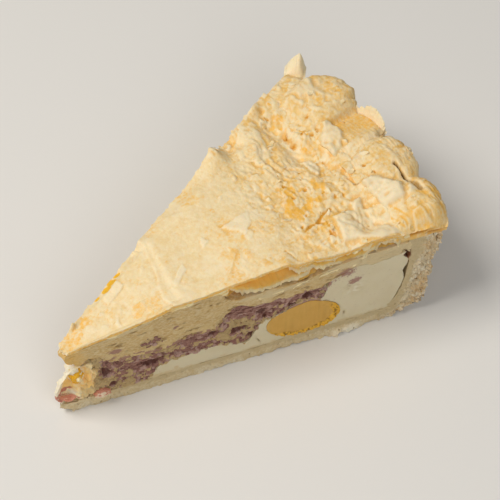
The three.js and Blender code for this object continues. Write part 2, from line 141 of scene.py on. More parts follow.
def grain(points: Array, size: float, seed: int, octaves: int = 1) -> Array:
    """Smooth unevenness from about -1 to 1.

    Args:
        points: places in mm, one per row, in 2 or 3 dimensions.
        size: how far apart its lumps are, in mm.
        seed: which unevenness.
        octaves: how many finer and weaker ones are added to it.

    Returns:
        One value for each point.
    """
    total = np.zeros(points.shape[:-1])
    weight, full = 1.0, 0.0
    for octave in range(octaves):
        q = points / (size / 2**octave) + 17.3 * octave
        base = np.floor(q).astype(np.int64)
        f = q - base
        f = f * f * f * (f * (f * 6 - 15) + 10)
        value = np.zeros(points.shape[:-1])
        for corner in itertools.product((0, 1), repeat=points.shape[-1]):
            share = np.ones(points.shape[:-1])
            for k, c in enumerate(corner):
                share = share * (f[..., k] if c else 1 - f[..., k])
            value += share * scramble(base + np.array(corner), seed + octave)
        total += weight * (2 * value - 1)
        full += weight
        weight *= 0.55
    return total / full


def pair(a: Array, b: Array) -> Array:
    """Places in a plane, one per row, from their two coordinates."""
    return np.stack([a, b], -1)


def wander(points: Array, size: float, seed: int, octaves: int = 1) -> Array:
    """Unevenness in two directions, which bends a pattern."""
    return pair(grain(points, size, seed, octaves), grain(points, size, seed + 1, octaves))


def cells(points: Array, size: float, seed: int) -> tuple[Array, Array, Array]:
    """Splits space into rounded cells, such as curds or crumbs.

    Args:
        points: places in mm, one per row, in 2 or 3 dimensions.
        size: the cells' width in mm.
        seed: which split.

    Returns:
        The distance to the nearest cell's middle and to the second nearest, in cell widths, and a
        number from 0 to 1 that belongs to the nearest cell.
    """
    q = points / size
    base = np.floor(q).astype(np.int64)
    near = np.full(points.shape[:-1], 9.0)
    second = near.copy()
    name = np.zeros(points.shape[:-1])
    for offset in itertools.product((-1, 0, 1), repeat=points.shape[-1]):
        cell = base + np.array(offset)
        middle = np.stack([scramble(cell, seed + 7 * k) for k in range(1, points.shape[-1] + 1)], -1)
        d = np.linalg.norm(cell + middle - q, axis=-1)
        closer = d < near
        second = np.where(closer, near, np.minimum(second, d))
        name = np.where(closer, scramble(cell, seed + 99), name)
        near = np.where(closer, d, near)
    return near, second, name


def swell(x: Array, y: Array, size: float, seed: float) -> Array:
    """The slow swelling that the solids have too, from -1 to 1, with lumps about `size` across."""
    total = np.zeros(np.broadcast(x, y).shape)
    for i in range(5):
        turn = seed + i * 2.4
        wave = 2 * math.pi / (size * (1 + 0.19 * i))
        total += np.sin(wave * (x * math.cos(turn) + y * math.sin(turn)) + 1.7 * i + seed * 3.1)
    return total / 5 * 1.6


def terraces(x: Array, y: Array, size: float, seed: float, levels: int) -> Array:
    """Swelling cut into flat steps, as in the solids."""
    h = (swell(x, y, size, seed) * 0.5 + 0.5) * levels
    step = np.floor(h)
    return (step + smooth((h - step - 0.62) / 0.38)) / levels - 0.5


def place(r: Array, angle: Array, z: Array) -> Array:
    """Turns radius, angle and height into places in mm, in the part's own frame."""
    r, angle, z = np.broadcast_arrays(r, angle, z)
    return np.stack([PIE_AXIS_X + r * np.cos(angle), r * np.sin(angle), z], -1)


def across(angle: Array) -> Array:
    """How far from the near cut face, 0, to the far one, 1."""
    return (angle / HALF_ANGLE + 1) / 2


# ---- Meshes -------------------------------------------------------------------------------------


def build_mesh(name: str, points: Array, quads: Array, attributes: Mapping[str, Array]) -> Object:
    """Writes a mesh of quads.

    Args:
        name: the object's name.
        points: corners in mm, one per row.
        quads: four corner numbers per row.
        attributes: for each name, one number per corner.

    Returns:
        The object, in the scene.
    """
    mesh = bpy.data.meshes.new(name)
    mesh.vertices.add(len(points))
    mesh.vertices.foreach_set("co", (points * MM).astype(np.float32).ravel())
    mesh.loops.add(quads.size)
    mesh.loops.foreach_set("vertex_index", quads.astype(np.int32).ravel())
    mesh.polygons.add(len(quads))
    mesh.polygons.foreach_set("loop_start", np.arange(0, quads.size, 4, dtype=np.int32))
    mesh.update(calc_edges=True)
    mesh.validate()
    for key, values in attributes.items():
        layer = mesh.attributes.new(key, "FLOAT", "POINT")
        layer.data.foreach_set("value", np.asarray(values, np.float32).ravel())
    mesh.polygons.foreach_set("use_smooth", np.ones(len(mesh.polygons), bool))
    mesh.set_sharp_from_angle(angle=SHARP_EDGE)
    obj = bpy.data.objects.new(name, mesh)
    bpy.context.scene.collection.objects.link(obj)
    return obj


def stations(a: float, b: float, step: float) -> Array:
    """Evenly spaced numbers from a to b, no further apart than `step`."""
    return np.linspace(a, b, max(1, math.ceil((b - a) / step)) + 1)


@dataclass
class Block:
    """A closed block of food with a near and a far cut face, on a lattice of radius, level and angle."""

    radii: Array
    levels: Array
    angles: Array

    def __post_init__(self) -> None:
        """Numbers the lattice's outer points and lists the quads between them, facing outwards."""
        shape = (len(self.radii), len(self.levels), len(self.angles))
        self.skin = np.zeros(shape, bool)
        self.skin[0] = self.skin[-1] = True
        self.skin[:, 0] = self.skin[:, -1] = True
        self.skin[:, :, 0] = self.skin[:, :, -1] = True
        number = np.full(shape, -1)
        number[self.skin] = np.arange(self.skin.sum())
        sides = (
            (number[:, :, 0], False),
            (number[:, :, -1], True),
            (number[:, -1, :], False),
            (number[:, 0, :], True),
            (number[0], False),
            (number[-1], True),
        )
        self.quads = np.concatenate([self._quads(side, turned) for side, turned in sides])
        grid = np.meshgrid(self.radii, self.levels, self.angles, indexing="ij")
        self.r, self.t, self.a = (g[self.skin] for g in grid)
        where = np.nonzero(self.skin)
        self.near = where[2] == 0
        self.far = where[2] == shape[2] - 1
        self.top = where[1] == shape[1] - 1
        self.start = where[0] == 0
        self.end = where[0] == shape[0] - 1

    @staticmethod
    def _quads(side: Array, turned: bool) -> Array:
        """Lists the quads of one side of the lattice."""
        q = np.stack([side[:-1, :-1], side[1:, :-1], side[1:, 1:], side[:-1, 1:]], -1).reshape(-1, 4)
        return q[:, ::-1] if turned else q

    def on_cut(self, r: Array, z: Array) -> Array:
        """Places on the cut faces for their relief: along and up, far apart for the two faces."""
        return pair(r + FACES_APART * self.far, z)

    def pushed(self, out: Array, r: Array | None = None) -> Array:
        """The points' angles once each cut face is pushed out by `out` mm, at their radii `r`."""
        reach = np.maximum(self.r if r is None else r, 3.0)
        return self.a + (np.where(self.far, out, 0.0) - np.where(self.near, out, 0.0)) / reach


# ---- Surfaces that the layers share -------------------------------------------------------------


@dataclass(frozen=True)
class Layers:
    """The heights between the layers of the slice, the same as in the solids."""

    white_near: Profile = Profile(
        [(34, 6.6), (39, 11.8), (47, 13.2), (58, 13.3), (69, 10.4), (74.5, 18.6), (82, 21.5), (90, 24.6),
         (98, 22.8), (106, 29), (111, 33), (126, 34.6)]
    )
    white_far: Profile = Profile(
        [(34, 6.6), (46, 9.5), (62, 15.5), (76, 14), (90, 19), (103, 27), (111, 32.6), (126, 34.2)]
    )
    bacon_near: Profile = Profile(
        [(18.5, 23.6), (28, 21.6), (42, 21), (49, 23.6), (58.5, 23.4), (62, 29.6), (66, 31.8), (79, 29),
         (95, 29.2), (102, 32), (107, 34.8), (111, 34.2)]
    )
    bacon_far: Profile = Profile([(18.5, 20), (34, 22), (52, 26), (72, 28), (92, 30), (104, 33), (111, 33.8)])
    dough: Profile = Profile(
        [(LID_TIP, 33.4), (14, 34), (29, 36.6), (40, 39.2), (52, 41), (59.5, 41.4), (64.5, 36), (76, 34.4),
         (88, 35), (104, 37.6), (116, 38.6), (126, 39)]
    )
    lid: Profile = Profile(
        [(7, 35), (14, 36), (29, 38.6), (38, 40.8), (48, 42.8), (60, 44.2), (72, 45.8), (84, 46.6),
         (96, 45.9),
         (108, 46.2), (116, 45.2), (124, 46)]
    )
    lid_far: Profile = Profile(
        [(7, 34), (11, 34.6), (13.6, 36.6), (14.6, 38.0), (15.4, 36.6), (24, 36.4), (34, 38.0), (38.5, 38.3),
         (39.5, 39.8), (46.6, 40.0), (47.6, 41.0), (48.4, 40.2), (49.6, 41.2), (50.6, 43.2), (54, 42.7),
         (64, 43.3), (75, 43.6), (81.6, 45.0), (88.6, 48.0), (92.4, 49.8), (94.6, 47.8), (96, 46.2),
         (99, 44.4), (102.6, 44.2),
         (105, 46.4), (113, 47.2), (117, 48.6), (120.5, 47.8), (124.5, 48)]
    )
    lid_near: Profile = Profile(
        [(7, 34.6), (13.4, 35.7), (28.9, 38.7), (34, 39.8), (37.7, 40.9), (44.4, 42.8), (52.7, 43.3),
         (59.8, 44.3), (67.3, 45.4), (76.8, 46.6), (83.4, 47.5), (86.9, 46.2), (94.9, 45.8), (100.4, 44.9),
         (108.2, 45.4),
         (111.6, 46.6), (116, 46.7), (121.6, 46.2), (124.5, 45)]
    )
    crust: Profile = Profile([(4.5, 5), (16, 5.7), (34, 5.4), (52, 5.8), (70, 5.5), (88, 6), (104, 5.8),
                              (118, 6)])
    wall: Profile = Profile([(6.6, -6), (11, -3.6), (17, -1.6), (25, 0), (33, 0.5), (41, 0.6)])

    def white_top(self, r: Array, angle: Array) -> Array:
        """The top of the egg white."""
        wavy = 0.25 * swell(r * np.cos(angle), r * np.sin(angle), 9, 1.3)
        return mix(self.white_near(r), self.white_far(r), smooth(across(angle))) + wavy

    def bacon_top(self, r: Array, angle: Array) -> Array:
        """The top of the bacon, never lower than the egg white under it."""
        wavy = 0.6 * swell(r * np.cos(angle), r * np.sin(angle), 7.5, 2.1)
        level = mix(self.bacon_near(r), self.bacon_far(r), smooth(across(angle))) + wavy
        return np.maximum(level, self.white_top(r, angle) + 1)

    def filling_top(self, r: Array, angle: Array) -> Array:
        """What the dough lies on: bacon, or egg white near the wall."""
        bacon = self.bacon_top(r, angle)
        white = self.white_top(r, angle)
        return mix(bacon, white, smooth((r - BACON_END) / 3.0))

    def flat_lid(self, r: Array, angle: Array) -> Array:
        """The top of the lid inside the rim, before its sheets and flakes."""
        x, y = r * np.cos(angle), r * np.sin(angle)
        rough = smooth((r - 78) / 34)
        crease = bell(x + 0.05 * y, 113.5, 3.0) * smooth((y + 6) / 14)
        top_sheet = 0.6 * smooth((x - 46.5 - 0.2 * y) / 2.4)
        torn = terraces(x, y, 23, 0.9, 4) * (0.4 + 2.2 * rough)
        scales = terraces(x, y, 9, 2.7, 3) * 1.3 * rough
        level = self.lid(r) - 0.6 + top_sheet + 0.4 * swell(x, y, 26, 5.2) + torn + scales - 1.9 * crease
        level = mix(level, self.lid_far(r) - 0.1, smooth((angle / HALF_ANGLE - 0.7) / 0.3))
        return mix(level, self.lid_near(r) - 0.1, smooth((-angle / HALF_ANGLE - 0.8) / 0.2))


LAYERS = Layers()


# ---- Finishes -----------------------------------------------------------------------------------


def linear(colour: str) -> tuple[float, float, float, float]:
    """Turns an sRGB hex colour into the linear one that the shaders take."""
    parts = (int(colour[i : i + 2], 16) / 255 for i in (1, 3, 5))
    r, g, b = (c / 12.92 if c <= 0.04045 else ((c + 0.055) / 1.055) ** 2.4 for c in parts)
    return (r, g, b, 1.0)


def add(tree: NodeTree, kind: str, inputs: Mapping | None = None, **settings: object) -> Node:
    """Adds a node.

    Args:
        tree: the node tree that it goes into.
        kind: its type.
        inputs: for each input's name or number, a value or the socket that feeds it.
        settings: the node's own settings.

    Returns:
        The node.
    """
    node = tree.nodes.new(kind)
    for key, value in settings.items():
        setattr(node, key, value)
    for key, value in (inputs or {}).items():
        if isinstance(value, NodeSocket):
            tree.links.new(value, node.inputs[key])
        else:
            node.inputs[key].default_value = value
    return node


@dataclass(frozen=True)
class Tone:
    """A second colour of a food, where one of its attributes is high."""

    attribute: str
    colour: str
    strength: float = 1.0
    ragged: float = 0.0  # how much its edge wanders
    size: float = 1.2  # of that wandering, in mm
    soft: float = 0.5  # how softly its edge fades


@dataclass(frozen=True)
class Food:
    """A finish for food: a mottled colour with tones laid over it, and a fine relief."""

    name: str
    slot: str  # of the record's materials
    colour: str
    mottle: str  # the colour of its mottling
    mottle_size: float  # in mm
    mottle_share: float
    roughness: float
    bump_size: float  # in mm
    bump_height: float  # in mm
    tones: tuple[Tone, ...] = ()
    stretch: tuple[float, float, float] = (1.0, 1.0, 1.0)
    fleck: str | None = None  # a finer second mottling
    fleck_size: float = 0.8
    fleck_share: float = 0.0
    subsurface: float = 0.0
    subsurface_reach: float = 1.0  # in mm
    specular: float = 0.35

    def build(self) -> Material:
        """Returns the material, which reads object coordinates and the piece's attributes."""
        material = bpy.data.materials.new(self.name)
        material.use_nodes = True
        tree = material.node_tree
        tree.nodes.clear()
        spots = add(tree, "ShaderNodeTexCoord").outputs["Object"]
        spots = add(tree, "ShaderNodeMapping", {"Vector": spots, "Scale": self.stretch}).outputs["Vector"]
        colour = self._mottled(tree, spots)
        for tone in self.tones:
            colour = self._toned(tree, spots, colour, tone)
        inputs = {
            "Base Color": colour,
            "Roughness": self.roughness,
            "IOR": FOOD_IOR,
            "Specular IOR Level": self.specular,
            "Subsurface Weight": self.subsurface,
            "Subsurface Radius": WARM_REACH,
            "Subsurface Scale": self.subsurface_reach * MM,
            "Normal": self._relief(tree, spots),
        }
        shader = add(tree, "ShaderNodeBsdfPrincipled", inputs)
        add(tree, "ShaderNodeOutputMaterial", {"Surface": shader.outputs["BSDF"]})
        return material

    def _noise(self, tree: NodeTree, spots: NodeSocket, size: float, detail: float) -> NodeSocket:
        """Adds noise whose lumps are `size` mm wide."""
        inputs = {"Vector": spots, "Scale": 1 / (size * MM), "Detail": detail, "Roughness": 0.6}
        return add(tree, "ShaderNodeTexNoise", inputs).outputs["Fac"]

    def _mottled(self, tree: NodeTree, spots: NodeSocket) -> NodeSocket:
        """The base colour with its one or two kinds of mottling."""
        colour: object = linear(self.colour)
        for other, size, share in (
            (self.mottle, self.mottle_size, self.mottle_share),
            (self.fleck, self.fleck_size, self.fleck_share),
        ):
            if other is None:
                continue
            noise = self._noise(tree, spots, size, 4.0)
            inputs = {"Value": noise, "From Min": 0.36, "From Max": 0.66, "To Min": 0.0, "To Max": share}
            ramp = add(tree, "ShaderNodeMapRange", inputs, interpolation_type="SMOOTHSTEP")
            colour = self._blend(tree, ramp.outputs["Result"], colour, other)
        return colour

    def _blend(self, tree: NodeTree, share: NodeSocket, under: object, over: str) -> NodeSocket:
        """Blends from one colour to another."""
        inputs = {0: share, 6: under, 7: linear(over)}
        return add(tree, "ShaderNodeMix", inputs, data_type="RGBA").outputs[2]

    def _toned(self, tree: NodeTree, spots: NodeSocket, colour: NodeSocket, tone: Tone) -> NodeSocket:
        """Lays one tone over the colour, where its attribute says."""
        amount = add(tree, "ShaderNodeAttribute", attribute_name=tone.attribute).outputs["Fac"]
        if tone.ragged:
            noise = self._noise(tree, spots, tone.size, 3.0)
            shift = add(tree, "ShaderNodeMath", {0: noise, 1: -0.5}, operation="ADD").outputs[0]
            inputs = {0: shift, 1: 2 * tone.ragged, 2: amount}
            moved = add(tree, "ShaderNodeMath", inputs, operation="MULTIPLY_ADD").outputs[0]
            low, high = max(0.05, TONE_EDGE - tone.soft / 2), TONE_EDGE + tone.soft / 2
            inputs = {"Value": moved, "From Min": low, "From Max": high}
            ramp = add(tree, "ShaderNodeMapRange", inputs, interpolation_type="SMOOTHSTEP")
            amount = ramp.outputs["Result"]
        inputs = {0: amount, 1: tone.strength}
        share = add(tree, "ShaderNodeMath", inputs, operation="MULTIPLY", use_clamp=True)
        return self._blend(tree, share.outputs[0], colour, tone.colour)

    def _relief(self, tree: NodeTree, spots: NodeSocket) -> NodeSocket:
        """The fine relief that the mesh is too coarse for."""
        noise = self._noise(tree, spots, self.bump_size, 5.0)
        inputs = {"Height": noise, "Distance": self.bump_height * MM, "Strength": 1.0}
        return add(tree, "ShaderNodeBump", inputs).outputs["Normal"]


# Puff pastry baked crisp: thin pale sheets with a satin surface, golden where they browned. Some of its gold
# is painted shade in hollows and creases, its edge tone is a painted highlight and its dark tone is painted
# shade in slits.
FLAKY_PASTRY = Food(
    "puff_pastry_baked_crisp", "flaky_pastry", "#f2dbaa", "#edcd90", 4.0, 0.6, 0.5, 0.9, 0.14,
    tones=(
        # low: the rough lid's own golden colour, stronger in the creases between blisters as painted shade
        Tone("low", "#eec16b", 0.85, 0.6, 1.4, 1.1),
        Tone("pale", "#f5e5c2", 0.8, 0.6, 2.0, 1.0),
        Tone("gold", "#f5ba46", 0.95, 0.8, 1.2, 1.1),
        # deep: golden painted shade in hollows, and the real streaks where the lid was scored
        Tone("deep", "#e8b253", 0.6),
        # edge: a painted highlight along the edges that stand out
        Tone("edge", "#f6e5bf", 0.6),
        # brown: browned holes and creases, and painted shade in the crevices of the rim's near cut face
        Tone("brown", "#d3942a", 0.95, 0.3, 0.8, 0.6),
        # dark: painted shade deep in the rim's slits
        Tone("dark", "#5b3d1e", 0.95),
        Tone("yolk", "#f2b91e", 0.95, 0.4, 1.0),
    ),
    fleck="#f7e9c6", fleck_size=1.3, fleck_share=0.5, subsurface=0.2, subsurface_reach=0.5,
)
# The same sheets where they were torn open: golden, oily and less dry than the top. Their bright gold in the
# hollows and their pale lips are partly painted light, and their dark tone is partly painted shade.
OPEN_PASTRY = Food(
    "puff_pastry_torn_open", "flaky_pastry", "#f6d898", "#eec479", 3.0, 0.5, 0.6, 0.8, 0.14,
    # gold: the golden inside, brightened in the hollows as painted light shining through the top sheet; pale:
    # the dry lips, partly painted light from above
    tones=(Tone("gold", "#ffc964", 0.95, 0.4, 2.0, 0.8), Tone("pale", "#ffe9b4", 0.9, 0.4, 1.0, 0.8),
           # dark: real ply lines, and painted shade under the cut sheets and far inside the hollows
           Tone("dark", "#b98a43", 0.6, 0.3, 1.0)),
    subsurface=0.3, subsurface_reach=1.5,
)
# Dough steamed soft under the lid: dense, tan, with curds of egg in it. Its dark tone is partly painted shade
# in tears and pits, and its gold at the tip is partly painted light.
SOFT_DOUGH = Food(
    "steamed_pie_dough", "soft_dough", "#d1af73", "#c09b5b", 4.0, 0.6, 0.55, 0.6, 0.3,
    tones=(
        Tone("curd", "#dbc18a", 0.7, 0.6, 1.2),
        Tone("meat", "#a47a6b", 0.9, 0.8, 1.0),
        # dark: real dark streaks, and painted shade in the tears and pits
        Tone("dark", "#8a6a3a", 0.8, 0.3, 1.0),
        Tone("pale", "#e0cca0", 0.8, 0.5, 1.6),
        # gold: partly the tip's own golden colour, partly painted light on the fold that its overhang shades
        Tone("gold", "#e6b966", 0.8, 0.5, 1.6, 0.9),
    ),
    stretch=(0.6, 0.6, 1.3), fleck="#e6d3a6", fleck_size=0.7, fleck_share=0.7, subsurface=0.12,
    subsurface_reach=0.5,
)
# Shredded cooked bacon: dull purple brown lean meat with yellowish egg curd caught in it. Its dark tone is
# partly painted shade, in the cracks between shreds and the hollows where bacon was pulled out.
COOKED_BACON = Food(
    "cooked_shredded_bacon", "bacon", "#a8796a", "#84574a", 1.2, 0.9, 0.5, 0.5, 0.6,
    tones=(Tone("light", "#c9a495", 0.9, 0.4, 0.7), Tone("curd", "#d2b681", 0.95, 0.6, 0.8),
           # dark: real dark fibres and bits, and painted shade in cracks and pulled-out hollows
           Tone("white", "#e0d3b1", 0.95, 0.3, 0.9), Tone("dark", "#6b4034", 0.85, 0.5, 0.7)),
    stretch=(0.7, 0.7, 1.3), fleck="#bd9284", fleck_size=0.55, fleck_share=0.6, subsurface=0.12,
    subsurface_reach=0.4,
)
# Moist cured bacon that the knife missed: pink lean and white fat.
PINK_BACON = Food(
    "moist_cured_bacon", "pink_bacon", "#dd9b80", "#c67a62", 1.2, 0.6, 0.38, 0.5, 0.08,
    tones=(Tone("fat", "#ecd6b8", 0.95, 0.5, 0.8),), subsurface=0.2, subsurface_reach=1.2,
)
# Set egg white: smooth, close and faintly waxy, with light reaching a little way into it. Its pale and dark
# tones on torn ridges are a painted highlight and painted shade, and its dark in cracks and on its end in the
# gap is painted shade.
EGG_WHITE = Food(
    "set_egg_white", "egg_white", "#e0d3b1", "#d8c9a3", 9.0, 0.5, 0.4, 1.4, 0.05,
    # pale and dark: partly a painted highlight and painted shade on the torn ridges; dark is also painted
    # shade in cracks and in the gap by the wall
    tones=(Tone("pale", "#ece4cb", 0.8, 0.4, 1.5), Tone("dark", "#a08a5e", 0.8, 0.3, 1.0),
           Tone("crumb", "#d6bd8b", 0.75, 0.6, 1.6), Tone("meat", "#a67c6e", 0.9, 0.9, 0.9)),
    subsurface=0.3, subsurface_reach=2.0, specular=0.4,
)
# Firm yolk: matt and mealy, brighter and grainier at its rim.
EGG_YOLK = Food(
    "firm_egg_yolk", "egg_yolk", "#dbac57", "#d2a14b", 5.0, 0.5, 0.6, 0.45, 0.06,
    tones=(Tone("rim", "#efb93c", 0.9, 0.4, 0.6, 0.9), Tone("dark", "#94661c", 0.85)),
    subsurface=0.15, subsurface_reach=1.0,
)
# Moist yolk at the broken tip: bright and glossy.
SOFT_YOLK = Food("moist_egg_yolk", "soft_yolk", "#eeae1c", "#f4c038", 2.0, 0.6, 0.4, 0.6, 0.06,
                 subsurface=0.25)
# Broken egg at the tip: cream bands of white and golden bands of yolk, with crust crumbs caught in it.
TORN_EGG = Food(
    "torn_egg_with_yolk_bands", "egg_white", "#fdeac0", "#f6d89c", 2.2, 0.5, 0.45, 0.7, 0.09,
    tones=(Tone("curd", "#e6ca92", 0.95, 0.5, 1.2), Tone("gold", "#fac973", 0.9, 0.5, 1.0, 0.9),
           Tone("pale", "#f5ead0", 0.95, 0.4, 0.8), Tone("meat", "#bf7360", 0.9, 0.5, 0.8)),
    subsurface=0.25, subsurface_reach=1.6,
)
# Shortcrust: dry, sandy crumb that breaks in lumps, a little golden outside. Its dark and hollow tones are
# partly painted shade, in the crack and hole beside the egg and between lumps.
SHORTCRUST = Food(
    "baked_shortcrust", "shortcrust", "#dcc69a", "#ccb17c", 2.6, 0.55, 0.78, 0.6, 0.22,
    tones=(
        Tone("toast", "#ddb067", 0.85, 0.5, 0.7, 1.3),
        Tone("pale", "#f8f0d8", 0.9, 0.5, 0.7, 1.1),
        # dark: partly painted shade, in the crack behind the egg and between the outside lumps
        Tone("dark", "#866233", 0.85, 0.4, 0.8),
        Tone("damp", "#ccb78c", 0.8, 0.5, 2.5),
        # hollow: painted shade in the hole beside the egg and on the wall's inner face behind it
        Tone("hollow", "#7c4426", 0.95, 0.3, 1.5),
    ),
    fleck="#eee2c2", fleck_size=0.8, fleck_share=0.5, subsurface=0.08, subsurface_reach=0.5,
)


def finish_piece(obj: Object, food: Food, node: str | None = None) -> Object:
    """Gives a piece its finish, its place on the body and the solid that it stands for.

    Args:
        obj: the piece, with its place in its mesh.
        food: its finish.
        node: the solid that it replaces, if any.

    Returns:
        The same piece.
    """
    material = bpy.data.materials.get(food.name) or food.build()
    obj.data.materials.clear()
    obj.data.materials.append(material)
    if node:
        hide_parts(node)
    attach(obj, "root")
    log.info("%s: %d faces", obj.name, len(obj.data.polygons))
    return obj


def dressed(
    name: str, points: Array, quads: Array, attributes: Mapping[str, Array], food: Food, node: str
) -> Object:
    """Writes a mesh and gives it its finish and the solid that it stands for."""
    return finish_piece(build_mesh(name, points, quads, attributes), food, node)


# ---- The case -----------------------------------------------------------------------------------


@dataclass
class PastryCase:
    """The shortcrust case: a base crust and a flared, crumbly wall."""

    step: float = 0.42
    base_start: float = 4.5
    base_end: float = 124.0
    foot: float = 6.6  # where the wall grows out of the base
    chip: float = 12.0  # how much of the wall's foot is missing at the near cut
    chip_top: float = 4.6
    crack: tuple[float, float] = (8.0, 31.0)  # the heights between which the egg has shrunk from the wall
    # The hole is pushed in and painted dark brown as the shade inside it.
    hole: Patch = (127.0, 33.6, 0.8, 1.7, 2.4)  # beside the egg, under the dough
    shelf: float = 104.0  # where loose crust sticks out along the near cut

    def build(self) -> list[Object]:
        """Returns the base and the wall."""
        return [self._base(), self._wall()]

    def _base(self) -> Object:
        """The base crust, broken off at the tip and crumbly along its cuts."""
        turns = stations(-HALF_ANGLE, HALF_ANGLE, 0.03)
        block = Block(stations(self.base_start, self.base_end, self.step), np.linspace(0, 1, 15), turns)
        tip = 3.8 + 2.6 * smooth((0.5 - block.t) / 0.5) + 1.4 * np.abs(block.a / HALF_ANGLE) ** 2
        tip += 1.1 * grain(pair(block.a * 60, block.t * 5), 1.4, 3, 3)
        r = block.r + (tip - self.base_start) * np.clip(1 - (block.r - self.base_start) / 4, 0, 1)
        plan = pair(r, block.a * 90)
        top = LAYERS.crust(r) + 0.35 * grain(plan, 3.0, 4, 2)
        broken = block.near | block.far | block.start
        low = 1.5 * np.clip(grain(plan, 2.4, 5, 4) + 0.1, 0, 1) * broken
        z = mix(low, top, block.t)
        p = block.on_cut(block.r, z)
        crumb, _, name = cells(p, 1.7, 11)
        out = 0.3 * grain(p, 2.6, 6, 3) + 0.5 * (name - 0.5) * smooth((0.62 - crumb) / 0.3)
        out += 0.8 * smooth((1.6 - z) / 1.6) * grain(p, 2.0, 9, 3) * smooth((r - 60) / 20)
        pit = smooth((0.2 - crumb) / 0.1) * (name > 0.82)
        shelf = bell(r, self.shelf, 6) * smooth((3.4 - z) / 1.5) * block.near
        out += 1.4 * shelf * (0.5 + name) - 0.7 * pit
        attributes = {
            "toast": 0.25 * smooth((1.5 - z) / 1.5) + 0.5 * shelf,
            "pale": 0.5 * smooth(grain(p, 6, 8)) + 0.6 * shelf,
            "dark": pit,
            "damp": smooth((z - 2.2) / 3.0) * smooth((r - 14) / 10),
        }
        points = place(r, block.pushed(out), z)
        return dressed("case_base", points, block.quads, attributes, SHORTCRUST, "pastry_case")

    def _wall(self) -> Object:
        """The wall, with lumps of crumb on its outside, a sandy cut face and a chipped foot."""
        turns = stations(-HALF_ANGLE, HALF_ANGLE, 0.0042)
        block = Block(np.linspace(0, 1, 40), stations(0, WALL_TOP, 0.36), turns)
        thick, z = block.r, block.t  # from 0 inside to 1 outside
        arc = block.a * RIM_RADIUS
        skin = pair(arc, z * 1.15)
        crack = smooth((z - self.crack[0]) / 3) * smooth((self.crack[1] - z) / 2)
        inner = WALL_FACE + LAYERS.wall(np.maximum(z, self.foot)) - 3.0 * smooth((self.foot - z) / 4)
        inner += mix(-0.5, 0.2, crack) - mix(0.7, 0.45, crack) * grain(pair(z, arc * 0.4), 2.6, 30, 3)
        chip = 2.6 + self.chip * bell(block.a + HALF_ANGLE, 0, 0.05) + 1.2 * swell(arc, 0.0, 15, 0.2)
        flare = mix(BASE_RADIUS, RIM_RADIUS, (z / WALL_TOP) ** 0.85)
        bulges = 0.55 * swell(arc, z * 1.2, 8.5, 3.3) * smooth((WALL_TOP - z) / 6)
        outer = flare + bulges - chip * np.clip(1 - z / self.chip_top, 0, None)
        lump, gap, name = cells(skin, 4.6, 21)
        fine, _, fine_name = cells(skin, 1.9, 22)
        loose = smooth((22 - z) / 16)
        relief = (0.5 + 1.3 * loose) * (0.5 - lump) * name + 1.5 * (0.5 - fine) * fine_name
        relief += 0.5 * grain(skin, 2.4, 23, 3)
        r = mix(inner, outer, thick) + relief * thick**3

        face = block.on_cut(r, z)
        crumb, crumb_gap, crumb_name = cells(face + 0.5 * wander(face, 1.5, 28, 2), 1.15, 24)
        pit = smooth((0.3 - crumb) / 0.2) * (crumb_name < 0.12)
        border = 0.3 + 0.25 * grain(pair(z, r * 0.6 + 40.0 * block.far), 5.0, 201, 3)
        sandy = smooth((thick - border + 0.12) / 0.3)
        lumps = 0.4 * grain(face, 2.0, 25, 3) + 1.5 * (crumb_name - 0.5) * smooth((0.75 - crumb) / 0.3)
        hole = patched(r, z, [self.hole]) * block.near
        out = lumps * (0.3 + 0.9 * sandy) - hole
        out -= 0.1 * pit + 0.5 * sandy * smooth((0.14 - crumb_gap + crumb) / 0.12)

        outside = smooth((thick - 0.72) / 0.25)
        cut = block.near | block.far
        sand = cut * sandy
        toasted = cut * smooth((thick - 0.6) / 0.2) * smooth((17 - z) / 6)
        damp_side = 0.3 * smooth(grain(face, 4.5, 27, 2) * 1.5) * (1 - outside)
        creases = outside * smooth((0.12 - gap + lump) / 0.1) * loose
        # dark is painted shade in the crack behind the egg and in the creases between lumps, and is also
        # darker in the pits and sandy part; hollow is painted shade in the hole and on the wall's inner face
        # behind it.
        attributes = {
            "toast": outside * (0.3 + 0.4 * smooth(0.5 + grain(skin, 6, 26, 2)))
            + sand * (0.35 + 0.5 * (crumb_name > 0.82)) + 1.1 * toasted,
            "pale": damp_side + 0.3 * outside * (fine_name > 0.6)
            + sand * (0.4 + 0.35 * (crumb_name < 0.5) * (crumb_name > 0.3)),
            "dark": 0.8 * pit * cut + 0.3 * sand + 0.9 * block.start * crack + 0.4 * creases,
            "hollow": hole / self.hole[-1] + bell(thick, 0, 0.1) * bell(z, 33.0, 3.0),
            "damp": 0.8 * (1 - sandy),
            "loose": outside * loose * smooth(2 * fine_name - 0.4) * smooth((z - 2.0) / 1.0),
        }
        points = place(r, block.pushed(out, r), z)
        return dressed("case_wall", points, block.quads, attributes, SHORTCRUST, "pastry_case")


# ---- The filling --------------------------------------------------------------------------------


def ball(n: int, cut: bool) -> tuple[Block, Array]:
    """A ball, or half of one with a flat cut face.

    Args:
        n: points along each edge of its lattice.
        cut: whether it ends at a flat face through its middle.

    Returns:
        The lattice and the points on a unit ball: along the slice, up and away from the cut.
    """
    inward = np.linspace(0, 1, n // 2) if cut else np.linspace(-1, 1, n)
    block = Block(np.linspace(-1, 1, n), np.linspace(-1, 1, n), inward)
    u, v, d = block.r, block.t, block.a
    along = u * np.sqrt(1 - v**2 / 2 - d**2 / 2 + v**2 * d**2 / 3)
    up = v * np.sqrt(1 - u**2 / 2 - d**2 / 2 + u**2 * d**2 / 3)
    deep = d * np.sqrt(1 - u**2 / 2 - v**2 / 2 + u**2 * v**2 / 3)
    return block, np.stack([along, up, deep], -1)


